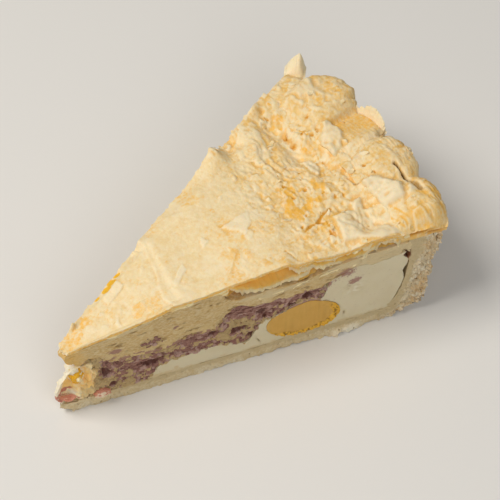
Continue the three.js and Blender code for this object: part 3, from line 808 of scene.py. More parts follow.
def patched(r: Array, z: Array, patches: Sequence[Patch], spread: Array | float = 1.0) -> Array:
    """How strong soft patches on a face are, each `spread` times as wide as it says."""
    return sum(
        strength * bell(r, middle, wide * spread) * bell(z, height, high * spread)
        for middle, height, wide, high, strength in patches
    )


def at_cut(r: Array, deep: Array, z: Array, angle: float = -HALF_ANGLE) -> Array:
    """Places points given along a ray from the pie's axis, to its far side and up."""
    x = PIE_AXIS_X + r * math.cos(angle) - deep * math.sin(angle)
    y = r * math.sin(angle) + deep * math.cos(angle)
    return np.stack([x, y, z], -1)


@dataclass
class Filling:
    """Egg white with a yolk in it, bacon over it and soft dough over that."""

    step: float = 0.36
    white_seed: int = 31  # of the waver of the egg white's top
    filling_seed: int = 51  # of the waver under the dough
    yolk_r: float = 89.6
    yolk_z: float = 14.3
    yolk_along: float = 13.3
    yolk_high: float = 8.1
    yolk_deep: float = 12.6
    yolk_tilt: float = math.radians(5)
    white_tears: tuple[Patch, ...] = ((107, 23.5, 5, 3.0, 1.0), (80, 20.5, 3.5, 2, 1.0))
    bacon_tip: float = 14.5
    lean: tuple[Patch, ...] = (  # solid meat, which shows fibres
        (70, 29, 9, 3.0, 1.3), (52, 21, 8, 2.4, 1.0), (90, 28, 10, 1.8, 1.0), (28, 16, 7, 3, 0.7),
    )
    curdled: tuple[Patch, ...] = ((66, 21, 8, 4, 1.0), (42, 19.5, 6, 1.6, 1.0), (24, 10, 6, 4, 1.0))
    hollows: tuple[Patch, ...] = (  # where bacon was pulled out
        (19.4, 16.6, 1.9, 2.6, 1.7), (35, 14.6, 4.6, 1.7, 1.5), (67, 18.6, 2.2, 1.3, 1.8),
        (75, 24.6, 2.2, 1.3, 1.6), (91, 26.6, 1.8, 1.4, 1.8), (57, 20.4, 1.6, 1, 1.4), (22, 9, 1.5, 2, 1.0),
        (85, 24, 1.8, 1.1, 1.3), (62.5, 29.5, 0.9, 2.0, 1.0), (70.5, 14, 1.8, 1.4, 1.2),
    )
    scrap: Patch = (35.6, 26.6, 3.9, 2.5, 4.5)  # of bacon, with how deep it goes as its strength
    dough_drop: tuple[float, float] = (59.5, 64.5)  # the radii between which the dough steps down
    dough_heights: tuple[float, float] = (41.4, 36.0)  # there
    dough_tears: tuple[Patch, ...] = (
        (63.2, 38.8, 1.1, 1.5, 2.4), (44.5, 30.3, 0.8, 0.6, 0.5), (57, 36.5, 0.8, 0.5, 0.8),
        (125.8, 34.6, 0.9, 1.2, 2.2), (24, 29.2, 0.9, 0.4, 0.7), (30.5, 36.8, 1.1, 0.35, 0.6),
    )
    dough_meat: tuple[Patch, ...] = ((23.5, 27, 2.2, 1.1, 1.2), (44.5, 30.4, 1.0, 0.7, 1.2),
                                     (106, 33.6, 4, 1.8, 1.2))

    def build(self) -> list[Object]:
        """Returns the pieces of the filling."""
        return [self._white(), self._yolk(), self._bacon(), self._scrap(), self._dough()]

    def _angles(self) -> Array:
        """Stations across the slice, close together only at the cuts."""
        return HALF_ANGLE * np.array([-1, -0.97, -0.85, -0.6, -0.3, 0, 0.3, 0.6, 0.85, 0.97, 1])

    def _ragged(self, r: Array, angle: Array, seed: int) -> Array:
        """A fine waver that both layers at a boundary share."""
        return 0.55 * grain(pair(r, angle * 110), 2.8, seed, 3)

    def _hump(self, along: Array, up: Array) -> Array:
        """How much higher than half an ellipse the yolk is."""
        return 1 + 0.11 * bell(along, 1.8, 3.4) * (up > 0) - 0.05 * bell(along, -9, 4) * (up > 0)

    def _yolk_place(self, r: Array, z: Array) -> tuple[Array, Array]:
        """How far along and up from the yolk's middle, in its half sizes."""
        u, v = r - self.yolk_r, z - self.yolk_z
        c, s = math.cos(self.yolk_tilt), math.sin(self.yolk_tilt)
        along, up = u * c - v * s, u * s + v * c
        return along / self.yolk_along, up / (self.yolk_high * self._hump(along, up))

    def _white(self) -> Object:
        """The egg white, smooth where it was cut, torn in a few places."""
        block = Block(stations(WHITE_START, FILLING_END, self.step), np.linspace(0, 1, 84), self._angles())
        crust = LAYERS.crust(block.r)
        top = LAYERS.white_top(block.r, block.a) + self._ragged(block.r, block.a, self.white_seed)
        past = smooth((block.r - 96.5) / 2.5) * smooth((-block.a / HALF_ANGLE - 0.86) / 0.1)
        dough = LAYERS.filling_top(block.r, block.a) - 0.2
        dough += self._ragged(block.r, block.a, self.filling_seed)
        z = mix(crust + 0.1, np.maximum(mix(top, dough, past), crust + 0.6), block.t)
        gap = 0.05 + 1.1 * bell(z, 25.5, 1.9) + 0.25 * smooth((27 - z) / 3) * smooth((z - 8) / 4)
        gap += 2.0 * bell(z, 33.4, 1.6)
        end = WALL_FACE + LAYERS.wall(z) - gap + 0.3 * grain(pair(block.a * 100, z), 2.5, 32, 2)
        r = block.r + (end - FILLING_END) * smooth((block.r - 112) / 14)
        p = block.on_cut(r, z)

        along, up = self._yolk_place(r, z)
        e2 = along**2 + up**2
        torn = np.maximum(*(patched(r, z, [tear]) for tear in self.white_tears)) * block.near
        ridge = grain(pair(r * 0.6 + z, z * 1.3 - r * 0.4), 1.5, 33, 2)
        shreds = bell(r - 0.5 * (z - 33), 104.5, 3.4) * bell(z, 32.6, 2.0)
        shreds += bell(r - 0.7 * (z - 27), 107.5, 2.2) * bell(z, 27.5, 1.6)
        shreds += 0.8 * bell(r, 98.5, 2.2) * bell(z, 29.6, 1.2)
        shreds *= block.near
        _, _, name = cells(pair(r * 0.6, z - 0.2 * r), 0.9, 38)
        crack = bell(r, 104.6, 0.5) * bell(z, 10.3, 1.4)
        crack += bell(r + 0.5 * (z - 9), 73.5, 0.35) * bell(z, 9, 2)
        out = 0.06 * grain(p, 3.0, 34, 2) + 0.1 * grain(p, 9.0, 35) + 0.55 * torn * ridge
        out += 0.9 * shreds * (name - 0.6) - 0.7 * crack * block.near
        within = block.near & (e2 < 0.985)
        pocket = np.where(within, self.yolk_deep * np.sqrt(np.clip(1 - e2, 0, 1)) + 0.15, 0.0)
        angle = block.pushed(np.where(pocket > 0, 0.0, out)) + pocket / r

        shrunk = block.end * ~block.near
        attributes = {
            # Torn ridges get a painted highlight on their crests and painted shade between them; cracks and
            # the end face in the gap by the wall get painted shade.
            "pale": 0.7 * torn * smooth(ridge + 0.4) + 0.35 * smooth(grain(p, 12, 36)),
            "dark": 0.8 * crack + 0.5 * torn * smooth(-ridge * 1.5 - 0.2)
            + 0.5 * shreds * (name < 0.2) + shrunk,
            "crumb": smooth((8.2 - z) / 2.4) * (0.6 + 0.4 * grain(p, 4, 37))
            + patched(r, z, [(44, 8, 1, 1, 0.9)]),
            "meat": block.near * smooth((r - 78) / 3) * smooth((97.5 - r) / 3) * smooth((z - 20.6) / 0.8)
            + 1.1 * shreds * (0.45 + 0.6 * (name > 0.35)) + shrunk * (z > 30),
        }
        return dressed("set_white", place(r, angle, z), block.quads, attributes, EGG_WHITE, "egg_white")

    def _yolk(self) -> Object:
        """The yolk, cut through: matt in the middle and mealy at its rim."""
        block, unit = ball(84, cut=True)
        along, up, deep = unit.T
        u, v = along * self.yolk_along, up * self.yolk_high * self._hump(along * self.yolk_along, up)
        c, s = math.cos(self.yolk_tilt), math.sin(self.yolk_tilt)
        r, z = self.yolk_r + u * c + v * s, self.yolk_z - u * s + v * c
        edge = np.sqrt(along**2 + up**2)
        p = pair(r, z)
        low = smooth((-up * 0.75 + along * 0.55 + 0.35) / 0.8)
        inset = (1 - edge) * np.where(np.abs(along) > np.abs(up), self.yolk_along, self.yolk_high)
        ragged = 1.2 * grain(p, 3.0, 44, 3)
        rim = smooth((2.0 + 0.8 * smooth(along) + ragged - inset) / 0.8) * low
        saw = 0.05 * grain(pair(r, z * 0.12), 0.8, 41) * (1 - rim)
        _, _, name = cells(p + 0.5 * wander(p, 1.2, 45, 2), 0.6, 42)
        out = saw + 0.05 * grain(p, 4, 43) + rim * (0.9 * (name - 0.5) + 0.2) + 0.05
        deep = np.where(block.near, -out - 0.05, deep * self.yolk_deep)
        attributes = {
            "rim": rim * (0.4 + 0.6 * (name > 0.4)) + 0.25 * smooth((edge - 0.93) / 0.07),
            "dark": 0.9 * rim * (name < 0.25) + 0.14 * smooth(saw * 16),
        }
        return dressed("firm_yolk", at_cut(r, deep, z), block.quads, attributes, EGG_YOLK, "egg_yolk")

    def _bacon(self) -> Object:
        """Shreds of bacon with curds of egg between them, and crevices where it was pulled out."""
        block = Block(stations(self.bacon_tip, BACON_END, self.step), np.linspace(0, 1, 62), self._angles())
        first = 2.6 * grain(pair(block.t * 18, block.a * 20), 4.0, 50, 3)
        r = block.r + first * np.clip(1 - (block.r - self.bacon_tip) / 4, 0, 1)
        white = LAYERS.white_top(r, block.a) + self._ragged(r, block.a, self.white_seed) - 0.35
        under = np.where(r < WHITE_START - 0.4, LAYERS.crust(r), white)
        over = LAYERS.bacon_top(r, block.a) + self._ragged(r, block.a, self.filling_seed)
        over += 2.6 * smooth((19.5 - r) / 2)
        z = mix(under, np.maximum(over, under + 1.0), block.t)
        p = block.on_cut(r, z)

        warp = wander(p, 2.4, 52, 3)
        drawn = pair(r * 0.5 + z * 0.1 + FACES_APART * block.far, z - r * 0.2)
        shred, gap, name = cells(drawn + warp, 1.25, 54)
        bit, bit_gap, bit_name = cells(p + 0.6 * warp, 1.15, 58)
        sloped = pair(p[:, 0] * 0.7, p[:, 1] - 0.15 * p[:, 0])
        lump_name = 0.5 + 0.95 * grain(sloped + 0.5 * warp, 1.5, 57, 4)
        solid = np.clip(patched(r, z, self.lean), 0, 1)
        crumbly = patched(r, z, self.curdled) + 1.6 * smooth((19 - r) / 3)
        edge = smooth((1.3 - np.minimum(z - under, over - z)) / 1.3) * block.near
        past = smooth((r - 96.5 - 3.0 * warp[:, 0]) / 1.5)  # where only white is left on the cut
        curd = smooth((0.43 + 0.5 * crumbly - 0.75 * solid + 0.2 * edge - lump_name) / 0.14) * (1 - past)
        hole = patched(r, z, self.hollows, 1 + 0.5 * grain(p, 1.6, 61, 2))
        crack = smooth((0.16 - (gap - shred)) / 0.14) * (0.4 + 0.6 * (name < 0.5))
        fibre = grain(pair(r * 0.35, z - 0.1 * r), 0.8, 62, 2)
        loose = (1 - 0.75 * solid) * (1 - 0.85 * past)
        out = 0.8 * (name - 0.5) + 0.7 * (bit_name - 0.5) * smooth((bit_gap - bit) / 0.25) - 0.5 * crack
        out = (out + 0.25 * grain(p, 1.1, 59, 2)) * loose + 0.35 * fibre * solid - 0.1 + 0.2 * curd
        wrought = np.where(block.near, hole + 1.6 * past, 0.3 * smooth(grain(p, 5, 60) * 2 - 0.6))

        # Painted shade in the cracks between shreds and in the pulled-out hollows, with real dark fibres and
        # bits.
        dark = 0.6 * crack * (1 - curd) * (1 - 0.7 * solid) + 0.6 * solid * smooth(-fibre * 2.5 - 0.1)
        dark += smooth(wrought / 1.5) + 0.3 * (bit_name < 0.2) * (1 - solid) - 1.2 * past
        attributes = {
            "curd": curd * (1 - smooth(hole)),
            "light": np.clip((bit_name > 0.74) * loose + 0.8 * solid * smooth(fibre * 2.5 - 0.2), 0, 1),
            "white": past,
            "dark": np.clip(dark, 0, 1),
        }
        points = place(r, block.pushed(out - wrought), z)
        return dressed("bacon_shreds", points, block.quads, attributes, COOKED_BACON, "bacon_layer")

    def _scrap(self) -> Object:
        """A scrap of bacon that lies in the dough."""
        block, unit = ball(30, cut=True)
        along, up, deep = unit.T
        wild = 1 + 0.22 * grain(unit * 3, 1.4, 61, 2)
        middle, height, wide, high, thick = self.scrap
        r, z = middle + wide * along * wild, height + high * up * wild
        shred, gap, name = cells(pair(r, z), 1.3, 62)
        crevice = smooth((0.15 - gap + shred) / 0.12)
        out = 0.35 + 0.5 * (name - 0.5) - 0.5 * crevice
        points = at_cut(r, np.where(block.near, -out, deep * thick), z)
        # dark: painted shade in the crevices between shreds
        attributes = {"curd": name < 0.3, "light": name > 0.75, "dark": 0.8 * crevice}
        return dressed("bacon_piece", points, block.quads, attributes, COOKED_BACON, "bacon_scrap")

    def _dough(self) -> Object:
        """Soft dough with curds in it, which ends in a rounded fold at the tip."""
        block = Block(stations(LID_TIP, FILLING_END, self.step), np.linspace(0, 1, 50), self._angles())
        r = block.r
        filling = LAYERS.filling_top(r, block.a) - 0.3 + self._ragged(r, block.a, self.filling_seed)
        under = np.where(r < BACON_START, 26 + 1.2 * np.sin(r), filling)
        start, end = self.dough_drop
        drop = mix(*self.dough_heights, smooth((r - start) / (end - start)))
        over = np.where((r > start) & (r < end), drop, LAYERS.dough(r)) + 0.1
        over = np.minimum(over, LAYERS.flat_lid(r, block.a) - 1.5)
        over += 1.3 * bell(r, 78, 9) + smooth((r - 88) / 8)
        z = mix(under, np.maximum(over, under + 0.8), block.t)
        rounded = np.sqrt(np.clip(1 - (2 * block.t - 1.1) ** 2, 0, 1))
        fold = 2.2 * np.clip(1 - (r - LID_TIP) / 4, 0, 1) * rounded - np.clip(1 - (r - LID_TIP) / 3, 0, 1)
        r = r - fold + (1.6 + 0.8 * grain(pair(z, 0 * z), 1.6, 77, 3)) * smooth((r - 121) / 5)
        p = block.on_cut(r, z)

        drift = pair(p[:, 0] * 0.35, p[:, 1] - 0.11 * p[:, 0])
        smear = grain(drift, 1.5, 71, 3)
        curd, _, name = cells(p + wander(p, 2, 72, 2), 1.7, 74)
        above = z - under
        loose = smooth((7.0 - above) / 5.0) * smooth((r - 14) / 10) * smooth((66 - r) / 8)
        pit = smooth((0.2 - curd) / 0.1) * (name > 0.95)
        hole = patched(r, z, self.dough_tears) * block.near
        out = 0.38 * smear + 0.14 * grain(p, 4.5, 75, 2) - 0.5 * pit - hole
        out += loose * (0.5 * (name - 0.5) + 0.35 * (0.5 - curd))

        mixed = smooth((3.2 - above) / 3.0) * smooth((r - 17) / 4) * smooth((64 - r) / 6)
        meat = patched(r, z, self.dough_meat) + mixed * smooth((name - 0.5) / 0.15)
        attributes = {
            "curd": 0.8 * loose * (name < 0.6) + 0.6 * smooth(smear * 1.5),
            "meat": np.clip(meat, 0, 1) * block.near,
            # dark: painted shade in the tears and pits, and real dark streaks
            "dark": np.clip(smooth(hole) + 0.5 * pit + 0.55 * smooth(-2 * smear - 0.2), 0, 1),
            "pale": 0.7 * smooth((z - LAYERS.dough(r) + 3.4) / 3.0) * smooth(0.5 + grain(drift, 3, 76))
            + 0.8 * smooth((r - 104) / 6) + 0.35 * bell(r, 76, 9),
            # gold: partly its own colour, partly painted light on the tip fold that its overhang shades
            "gold": 0.8 * smooth((17 - r) / 9),
        }
        points = place(r, block.pushed(out), z)
        return dressed("steamed_dough", points, block.quads, attributes, SOFT_DOUGH, "dough_layer")


# ---- The flaky lid ------------------------------------------------------------------------------


class Cut(Enum):
    """The two faces that the knife left."""

    NEAR = -1
    FAR = 1


def away(x: Array, y: Array, start: Sequence[float], end: Sequence[float]) -> Array:
    """How far places are from a straight stretch between two places."""
    (ax, ay), (bx, by) = start, end
    dx, dy = bx - ax, by - ay
    t = np.clip(((x - ax) * dx + (y - ay) * dy) / (dx * dx + dy * dy), 0, 1)
    return np.hypot(x - ax - t * dx, y - ay - t * dy)


@dataclass(frozen=True)
class Leaf:
    """A torn leaf of pastry that lies on the lid and stands up at its free end."""

    corners: Points
    lift: float  # of its free end, in mm
    tone: str = ""
    tint: float = 0.5  # how strong its tone is
    heading: float = 80.0  # in degrees; its free end looks this way
    tilt: float = 0.6  # how much lower its other end lies
    jag: float = 0.3  # how ragged its edge is, in mm

    def lay(self, x: Array, y: Array, rise: Array, tones: dict[str, Array]) -> None:
        """Lays the leaf over what is there.

        Args:
            x: places along the slice in mm.
            y: places across it.
            rise: the height so far at each, which it raises.
            tones: the share of each tone, which it changes.
        """
        corners = np.array(self.corners, float)
        middle = corners.mean(0)
        reach = np.linalg.norm(corners - middle, axis=1).max()
        close = np.hypot(x - middle[0], y - middle[1]) < reach + 1
        if not close.any():
            return
        px, py = x[close], y[close]
        margin = np.full(px.shape, 1e9)
        inside = np.zeros(px.shape, bool)
        for start, end in zip(corners, np.roll(corners, -1, axis=0)):
            margin = np.minimum(margin, away(px, py, start, end))
            crosses = px < (end[0] - start[0]) * (py - start[1]) / (end[1] - start[1] + 1e-9) + start[0]
            inside ^= ((start[1] > py) != (end[1] > py)) & crosses
        seed = int(abs(middle[0] * 31 + middle[1] * 17)) + 5
        plan = pair(px, py)
        depth = np.where(inside, margin, -margin) + self.jag * 2.2 * grain(plan, 2.4, seed, 4)
        on = smooth(depth / (0.35 + 0.7 * self.lift) + 0.5)
        turn = math.radians(self.heading)
        ahead = ((px - middle[0]) * math.cos(turn) + (py - middle[1]) * math.sin(turn)) / reach
        height = self.lift * (1 - self.tilt * (1 - ahead) / 2 + 0.35 * grain(plan, 3.2, seed + 1, 2))
        height = height + 0.04 * bell(depth, 0.5, 0.45)
        over = on * smooth((height - rise[close]) / 0.15 + 0.5)
        rise[close] = mix(rise[close], np.maximum(rise[close], height), on)
        for tone in tones:
            tones[tone][close] = mix(tones[tone][close], self.tint if tone == self.tone else 0.0, over)


@dataclass(frozen=True)
class Crease:
    """A fold or crack in the lid, along a few points."""

    path: Points
    width: float
    depth: float
    # brown: how strongly it is darkened; real browning along the lid's creases, painted shade deep in the
    # rim's slits
    brown: float

    def near(self, x: Array, y: Array, waver: Array) -> Array:
        """Returns 1 on the crease, and 0 away from it."""
        best = np.full(x.shape, 1e9)
        for start, end in zip(self.path[:-1], self.path[1:]):
            best = np.minimum(best, away(x, y, start, end))
        return bell(best + waver, 0, self.width)


def strewn_leaves(
    count: int, seed: int, xs: Sequence[float], long: Sequence[float], lift: Sequence[float],
    tones: Sequence[str]
) -> list[Leaf]:
    """Strews leaves over a part of the slice.

    Args:
        count: how many.
        seed: which strewing.
        xs: from where to where along the slice.
        long: their least and greatest half length.
        lift: their least and greatest lift.
        tones: the tones that they draw from.

    Returns:
        The leaves, the lowest first.
    """
    dice = np.random.default_rng(seed)
    leaves = []
    for _ in range(count):
        x = dice.uniform(*xs)
        reach = x * math.tan(HALF_ANGLE) + 2
        y = dice.uniform(-reach, reach)
        half = dice.uniform(*long)
        slim = dice.uniform(0.4, 0.8)
        turn = math.radians(dice.uniform(45, 125))
        around = np.arange(6) * math.pi / 3 + dice.uniform(-0.4, 0.4, 6)
        u = np.cos(around) * dice.uniform(0.6, 1.1, 6) * half
        v = np.sin(around) * dice.uniform(0.6, 1.1, 6) * half * slim
        corners = pair(x + u * math.cos(turn) - v * math.sin(turn),
                       y + u * math.sin(turn) + v * math.cos(turn))
        leaves.append(
            Leaf(
                corners=[tuple(corner) for corner in corners],
                lift=dice.uniform(*lift),
                tone=str(dice.choice(tones)),
                tint=dice.uniform(0.15, 0.6),
                heading=dice.uniform(0, 360),
                tilt=dice.uniform(0.4, 1.0),
                jag=dice.uniform(0.15, 0.5),
            )
        )
    return sorted(leaves, key=lambda leaf: leaf.lift)


def sheets(plan: Array, size: float, seed: int, levels: float) -> tuple[Array, Array]:
    """Thin sheets that lie over one another, each torn along its own ragged line.

    Args:
        plan: places in mm.
        size: how wide a sheet is, in mm.
        seed: which sheets.
        levels: how many of them lie between the lowest place and the middle.

    Returns:
        The height, from about -1 to 1, and a number from 0 to 1 that belongs to the sheet.
    """
    level = levels * grain(plan, size, seed, 5) * 1.5
    step = np.floor(level)
    tint = scramble(step[..., None].astype(np.int64), seed)
    return (step + smooth((level - step - 0.82) / 0.18)) / levels / 1.5 + 0.25 / levels, tint


def blisters(plan: Array, size: float, seed: int) -> Array:
    """Puffed lumps about `size` mm wide: 0 in the creases between them, up to 1 on top."""
    drift = wander(plan, size * 0.7, seed + 1, 3)
    warped = plan + 0.4 * size * drift
    lumps = 0.68 * np.abs(grain(warped, size, seed)) + 0.32 * np.abs(grain(warped, size * 0.45, seed + 3))
    return np.minimum(2.4 * lumps, 1.0)


def proud(height: Array, passes: int) -> Array:
    """How far each place of a grid stands above those round it, in mm."""
    soft = height
    for _ in range(passes):
        wide = np.pad(soft, 1, mode="edge")
        soft = (wide[:-2, 1:-1] + wide[2:, 1:-1] + wide[1:-1, :-2] + wide[1:-1, 2:]) / 4
    return height - soft


# Lays real stains and browning, and painted highlights and painted shade as well.
def lay_tone(tones: dict[str, Array], tone: str, share: Array) -> None:
    """Lays a tone wherever it is stronger than what is there of it."""
    tones[tone] = np.maximum(tones[tone], share)


def paint_edge_light_and_hollow_shade(rise: Array, tones: dict[str, Array], strength: float) -> None:
    """Paints a pale highlight on the edges that stand out, and golden painted shade where the surface lies
    low.
    """
    out = proud(rise, 10)
    lay_tone(tones, "edge", strength * smooth((out - 0.02) / 0.15))
    lay_tone(tones, "deep", strength * smooth((-0.02 - out) / 0.18))


TONES = ("low", "pale", "gold", "brown", "dark", "yolk", "edge", "deep")
HOLE_SHARE = 0.65  # how wide a browned hole is, as a share of its size, since its edge is soft
LID_BOTTOM = -0.95  # mm; no hole or crease in the lid goes deeper


@dataclass
class LidRelief:
    """The relief of the lid inside the rim, and where it is pale, golden or brown."""

    leaves: list[Leaf] = field(
        default_factory=lambda: [
            *strewn_leaves(30, 6, (14, 96), (1.0, 3.0), (0.08, 0.25), ("pale", "", "gold", "pale")),
            *strewn_leaves(22, 5, (93, 123), (1.4, 3.6), (0.3, 0.7), ("pale", "", "low")),
            *strewn_leaves(90, 7, (88, 124), (0.7, 1.9), (0.3, 0.8), ("pale", "", "low", "gold")),
            Leaf([(49.7, 16.4), (47.4, 9), (46.7, 5.3), (43, -4.2), (41.4, -8.1), (42.5, -14), (58, -19),
                  (72, -9),
                  (72, 12), (58, 19)], 0.36, "", 0, 190, 1.0, 0.2),
            Leaf([(72.2, 1.3), (80.3, 1.4), (82.7, 0.7), (81.2, -4), (77, -6.1), (75.2, -3.1)],
                 0.4, "pale", 0.8, 250, 0.7),
            Leaf([(54.2, -1.3), (53.8, -4.1), (48.1, -7.4), (47, -6.1), (50.5, -3.3)],
                 0.42, "pale", 0.9, 210, 0.3, 0.12),
            Leaf([(65, 3.2), (66, -0.2), (63, -1.2), (63.4, 1)], 0.4, "pale", 0.8, 0, 0.3, 0.15),
            Leaf([(32.8, -2.7), (35.8, -4), (35.7, -6.9), (31.5, -8.8), (30.2, -6.8)], 0.22, "gold", 0.5, 0,
                 0.3, 0.2),
            Leaf([(26.7, -3.2), (25.6, -6.4), (24.6, -4.2)], 0.4, "pale", 0.9, 0, 0.2, 0.1),
            Leaf([(27.1, 6.3), (34.3, 8.7), (35.2, 5.2), (33, 4.2), (27.5, 3.2)], 0.42, "pale", 0.6, 20, 0.5,
                 0.2),
            Leaf([(97, 27), (104, 31), (106.7, 28.6), (108, 25.9), (106.9, 23.9), (105.3, 19.5),
                  (106.1, 15.6), (100, 15),
                  (95, 20)], 1.0, "pale", 0.3, 0, 1.0, 0.3),
            Leaf([(99.4, 13.4), (101.4, 13.2), (100.9, 8.1), (99.9, 4.0), (95.7, 2.8), (96, 8)],
                 0.9, "", 0, 10, 0.9, 0.3),
            Leaf([(94.4, -3.8), (99, 1.5), (104.2, -0.6), (111.9, -4.9), (106.6, -10.5), (97, -14.3),
                  (92.5, -9.6)],
                 0.5, "gold", 0.85, 250, 0.6, 0.8),
            Leaf([(112, 8.6), (111.3, 2.1), (112.5, -0.2), (114.8, 2.5), (114.2, 7)], 1.5, "pale", 1.0, 60,
                 0.3, 0.2),
            Leaf([(104.5, -18.0), (109, -18.6), (117.2, -21.4), (123, -30), (122, -37), (111.8, -35),
                  (101.4, -28)],
                 1.5, "pale", 0.7, 140, 0.3, 0.3),
            Leaf([(115.6, -21.1), (121, -23.4), (122.3, -31), (119, -33), (114.7, -26)], 2.0, "", 0, 90, 0.3,
                 0.15),
            Leaf([(113.3, -17.0), (116.6, -17.0), (115, -21.7), (111.8, -25.2), (110.6, -21.7)],
                 2.3, "", 0, 150, 0.3, 0.15),
        ]
    )
    creases: tuple[Crease, ...] = (
        Crease([(113.5, 37), (113.4, 30), (114.6, 24), (114.6, 20), (114.2, 15)], 1.1, 0.9, 0.4),
        Crease([(106, -14.4), (102.3, -14.8), (99.2, -16.6), (96.3, -16.5), (93.1, -17.3)], 0.6, 0.7, 0.7),
        Crease([(100, -17), (101.5, -21), (100.5, -24)], 0.5, 0.6, 0.6),
        Crease([(83, -20), (83.6, -23), (84, -26)], 0.4, 0.4, 0.6),
        Crease([(118, 12), (117, 4), (120, -4), (119, -12)], 1.6, 0.8, 0.25),
    )
    holes: Spots = (
        (113.2, 29.8, 0.7), (114.8, 20.7, 0.9), (114.2, 15.5, 0.8), (100.4, 7.4, 0.5), (99.6, 2, 0.9),
        (98.9, -3.5, 0.9), (104.7, -2.6, 0.9), (105.5, 1.1, 0.6), (107.1, 4.3, 0.5), (98.1, -12.1, 0.5),
        (93.1, -15.1, 0.7), (117.1, 3.3, 0.6), (112.7, -12.4, 0.7), (110.3, -11.7, 0.7), (100, -23, 0.8),
        (101, -19, 0.7), (120.8, 14.4, 1.2), (118.3, 16.3, 0.8), (108, -8, 0.4), (122, 10, 0.6),
        (116.5, -3.5, 0.5),
    )
    scores: tuple[Patch, ...] = ((70, -11, 5, 6, 1.0), (84, -8, 3, 4, 1.0), (76, -20, 2, 2, 1.0))
    yolk: Spots = ((33.2, 9.4, 2.0), (30.3, 8.3, 2.0), (36.2, 10.7, 1.4), (26, 8.0, 1.2), (120.3, 38.5, 1.3))
    stains: Spots = (
        (33, -6.4, 2.6), (13, 1.6, 3.6), (18, 3.6, 2.6), (72, -4, 2.0), (74, -6.6, 1.8), (71, 4.4, 1.8),
        (74, 8.5, 1.0), (97, -8, 4.2), (103, -6.5, 4.6), (109, -4, 2.6), (116, 12, 3.0), (121, 16, 3.0),
        (116, 26, 3.0), (100, -20, 2.2), (115.4, -34.4, 0.7),
    )

    def at(self, r: Array, angle: Array) -> tuple[Array, dict[str, Array]]:
        """Tells how high the lid's top lies and how it is coloured.

        Args:
            r: distances from the pie's axis in mm, on a grid.
            angle: angles round it.

        Returns:
            The heights, and the share of each tone.
        """
        x, y = r * np.cos(angle), r * np.sin(angle)
        plan = pair(x, y)
        rough = smooth((r - 80) / 14) * (1 - 0.75 * bell(x, 92, 8) * bell(y, 18, 9))
        puff = blisters(plan, 5.5, 82)
        layer, tint = sheets(plan, 8, 81, 2.6)
        rise = (0.3 + 0.6 * rough) * layer + rough * (0.45 * puff - 0.2)
        tones = {tone: np.zeros(x.shape) for tone in TONES}
        # Golden where the lid is rough: its own colour, with painted shade added in the creases between
        # blisters.
        tones["low"] = rough * (0.38 + 0.2 * smooth((0.4 - puff) / 0.4) + 0.25 * smooth((tint - 0.5) / 0.2))
        tones["pale"] = rough * 0.5 * smooth((0.35 - tint) / 0.2)
        for leaf in self.leaves:
            leaf.lay(x, y, rise, tones)
        waver = 0.5 * grain(plan, 1.6, 81, 2)
        for crease in self.creases:
            on = crease.near(x, y, waver) * smooth(0.75 + 1.3 * grain(plan, 3.0, 97, 2))
            rise -= crease.depth * on
            lay_tone(tones, "brown", crease.brown * on)
        torn = wander(plan, 1.7, 88, 3)
        for hx, hy, size in self.holes:
            on = bell(np.hypot(x - hx + torn[..., 0], (y - hy) * 0.8 + torn[..., 1]), 0, HOLE_SHARE * size)
            rise -= 0.9 * size * on
            lay_tone(tones, "brown", on)
        for hx, hy, size in self.yolk:
            lay_tone(tones, "yolk", smooth(1.7 * bell(np.hypot(x - hx, (y - hy) * 1.5), 0, size) - 0.3))
        blotch = grain(plan, 2.4, 95, 4)
        for hx, hy, size in self.stains:
            on = smooth(2.4 * bell(np.hypot(x - hx, y - hy), 0, size) * (0.3 + 1.4 * blotch))
            lay_tone(tones, "gold", mix(0.45, 0.85, np.maximum(rough, 0.45 * smooth((22 - r) / 4))) * on)
        streaks = pair(x + 0.06 * y, y * 0.3)
        fine = grain(streaks, 1.4, 83, 3)
        scored = patched(x, y, self.scores)
        lay_tone(tones, "gold", 0.65 * scored * smooth((fine + 0.05) / 0.3))
        lay_tone(tones, "deep", scored * smooth((fine - 0.25) / 0.3))
        rise += (0.08 + 0.1 * rough + 0.25 * scored) * fine + 0.12 * grain(plan, 6.0, 84, 2)
        rise += (0.03 + 0.07 * rough) * grain(plan, 1.2, 85, 3)
        lay_tone(tones, "gold", 0.4 * smooth(grain(plan, 9, 86, 3) * 1.6 + 0.1))
        lay_tone(tones, "pale", (0.5 + 0.2 * rough) * smooth(grain(plan, 6, 87, 3) * 1.6 + 0.1))
        rise = np.maximum(rise, LID_BOTTOM)
        # Painted highlight on the standing edges and painted shade in the lid's hollows.
        paint_edge_light_and_hollow_shade(rise, tones, 1.0)
        return LAYERS.flat_lid(r, angle) + rise, tones


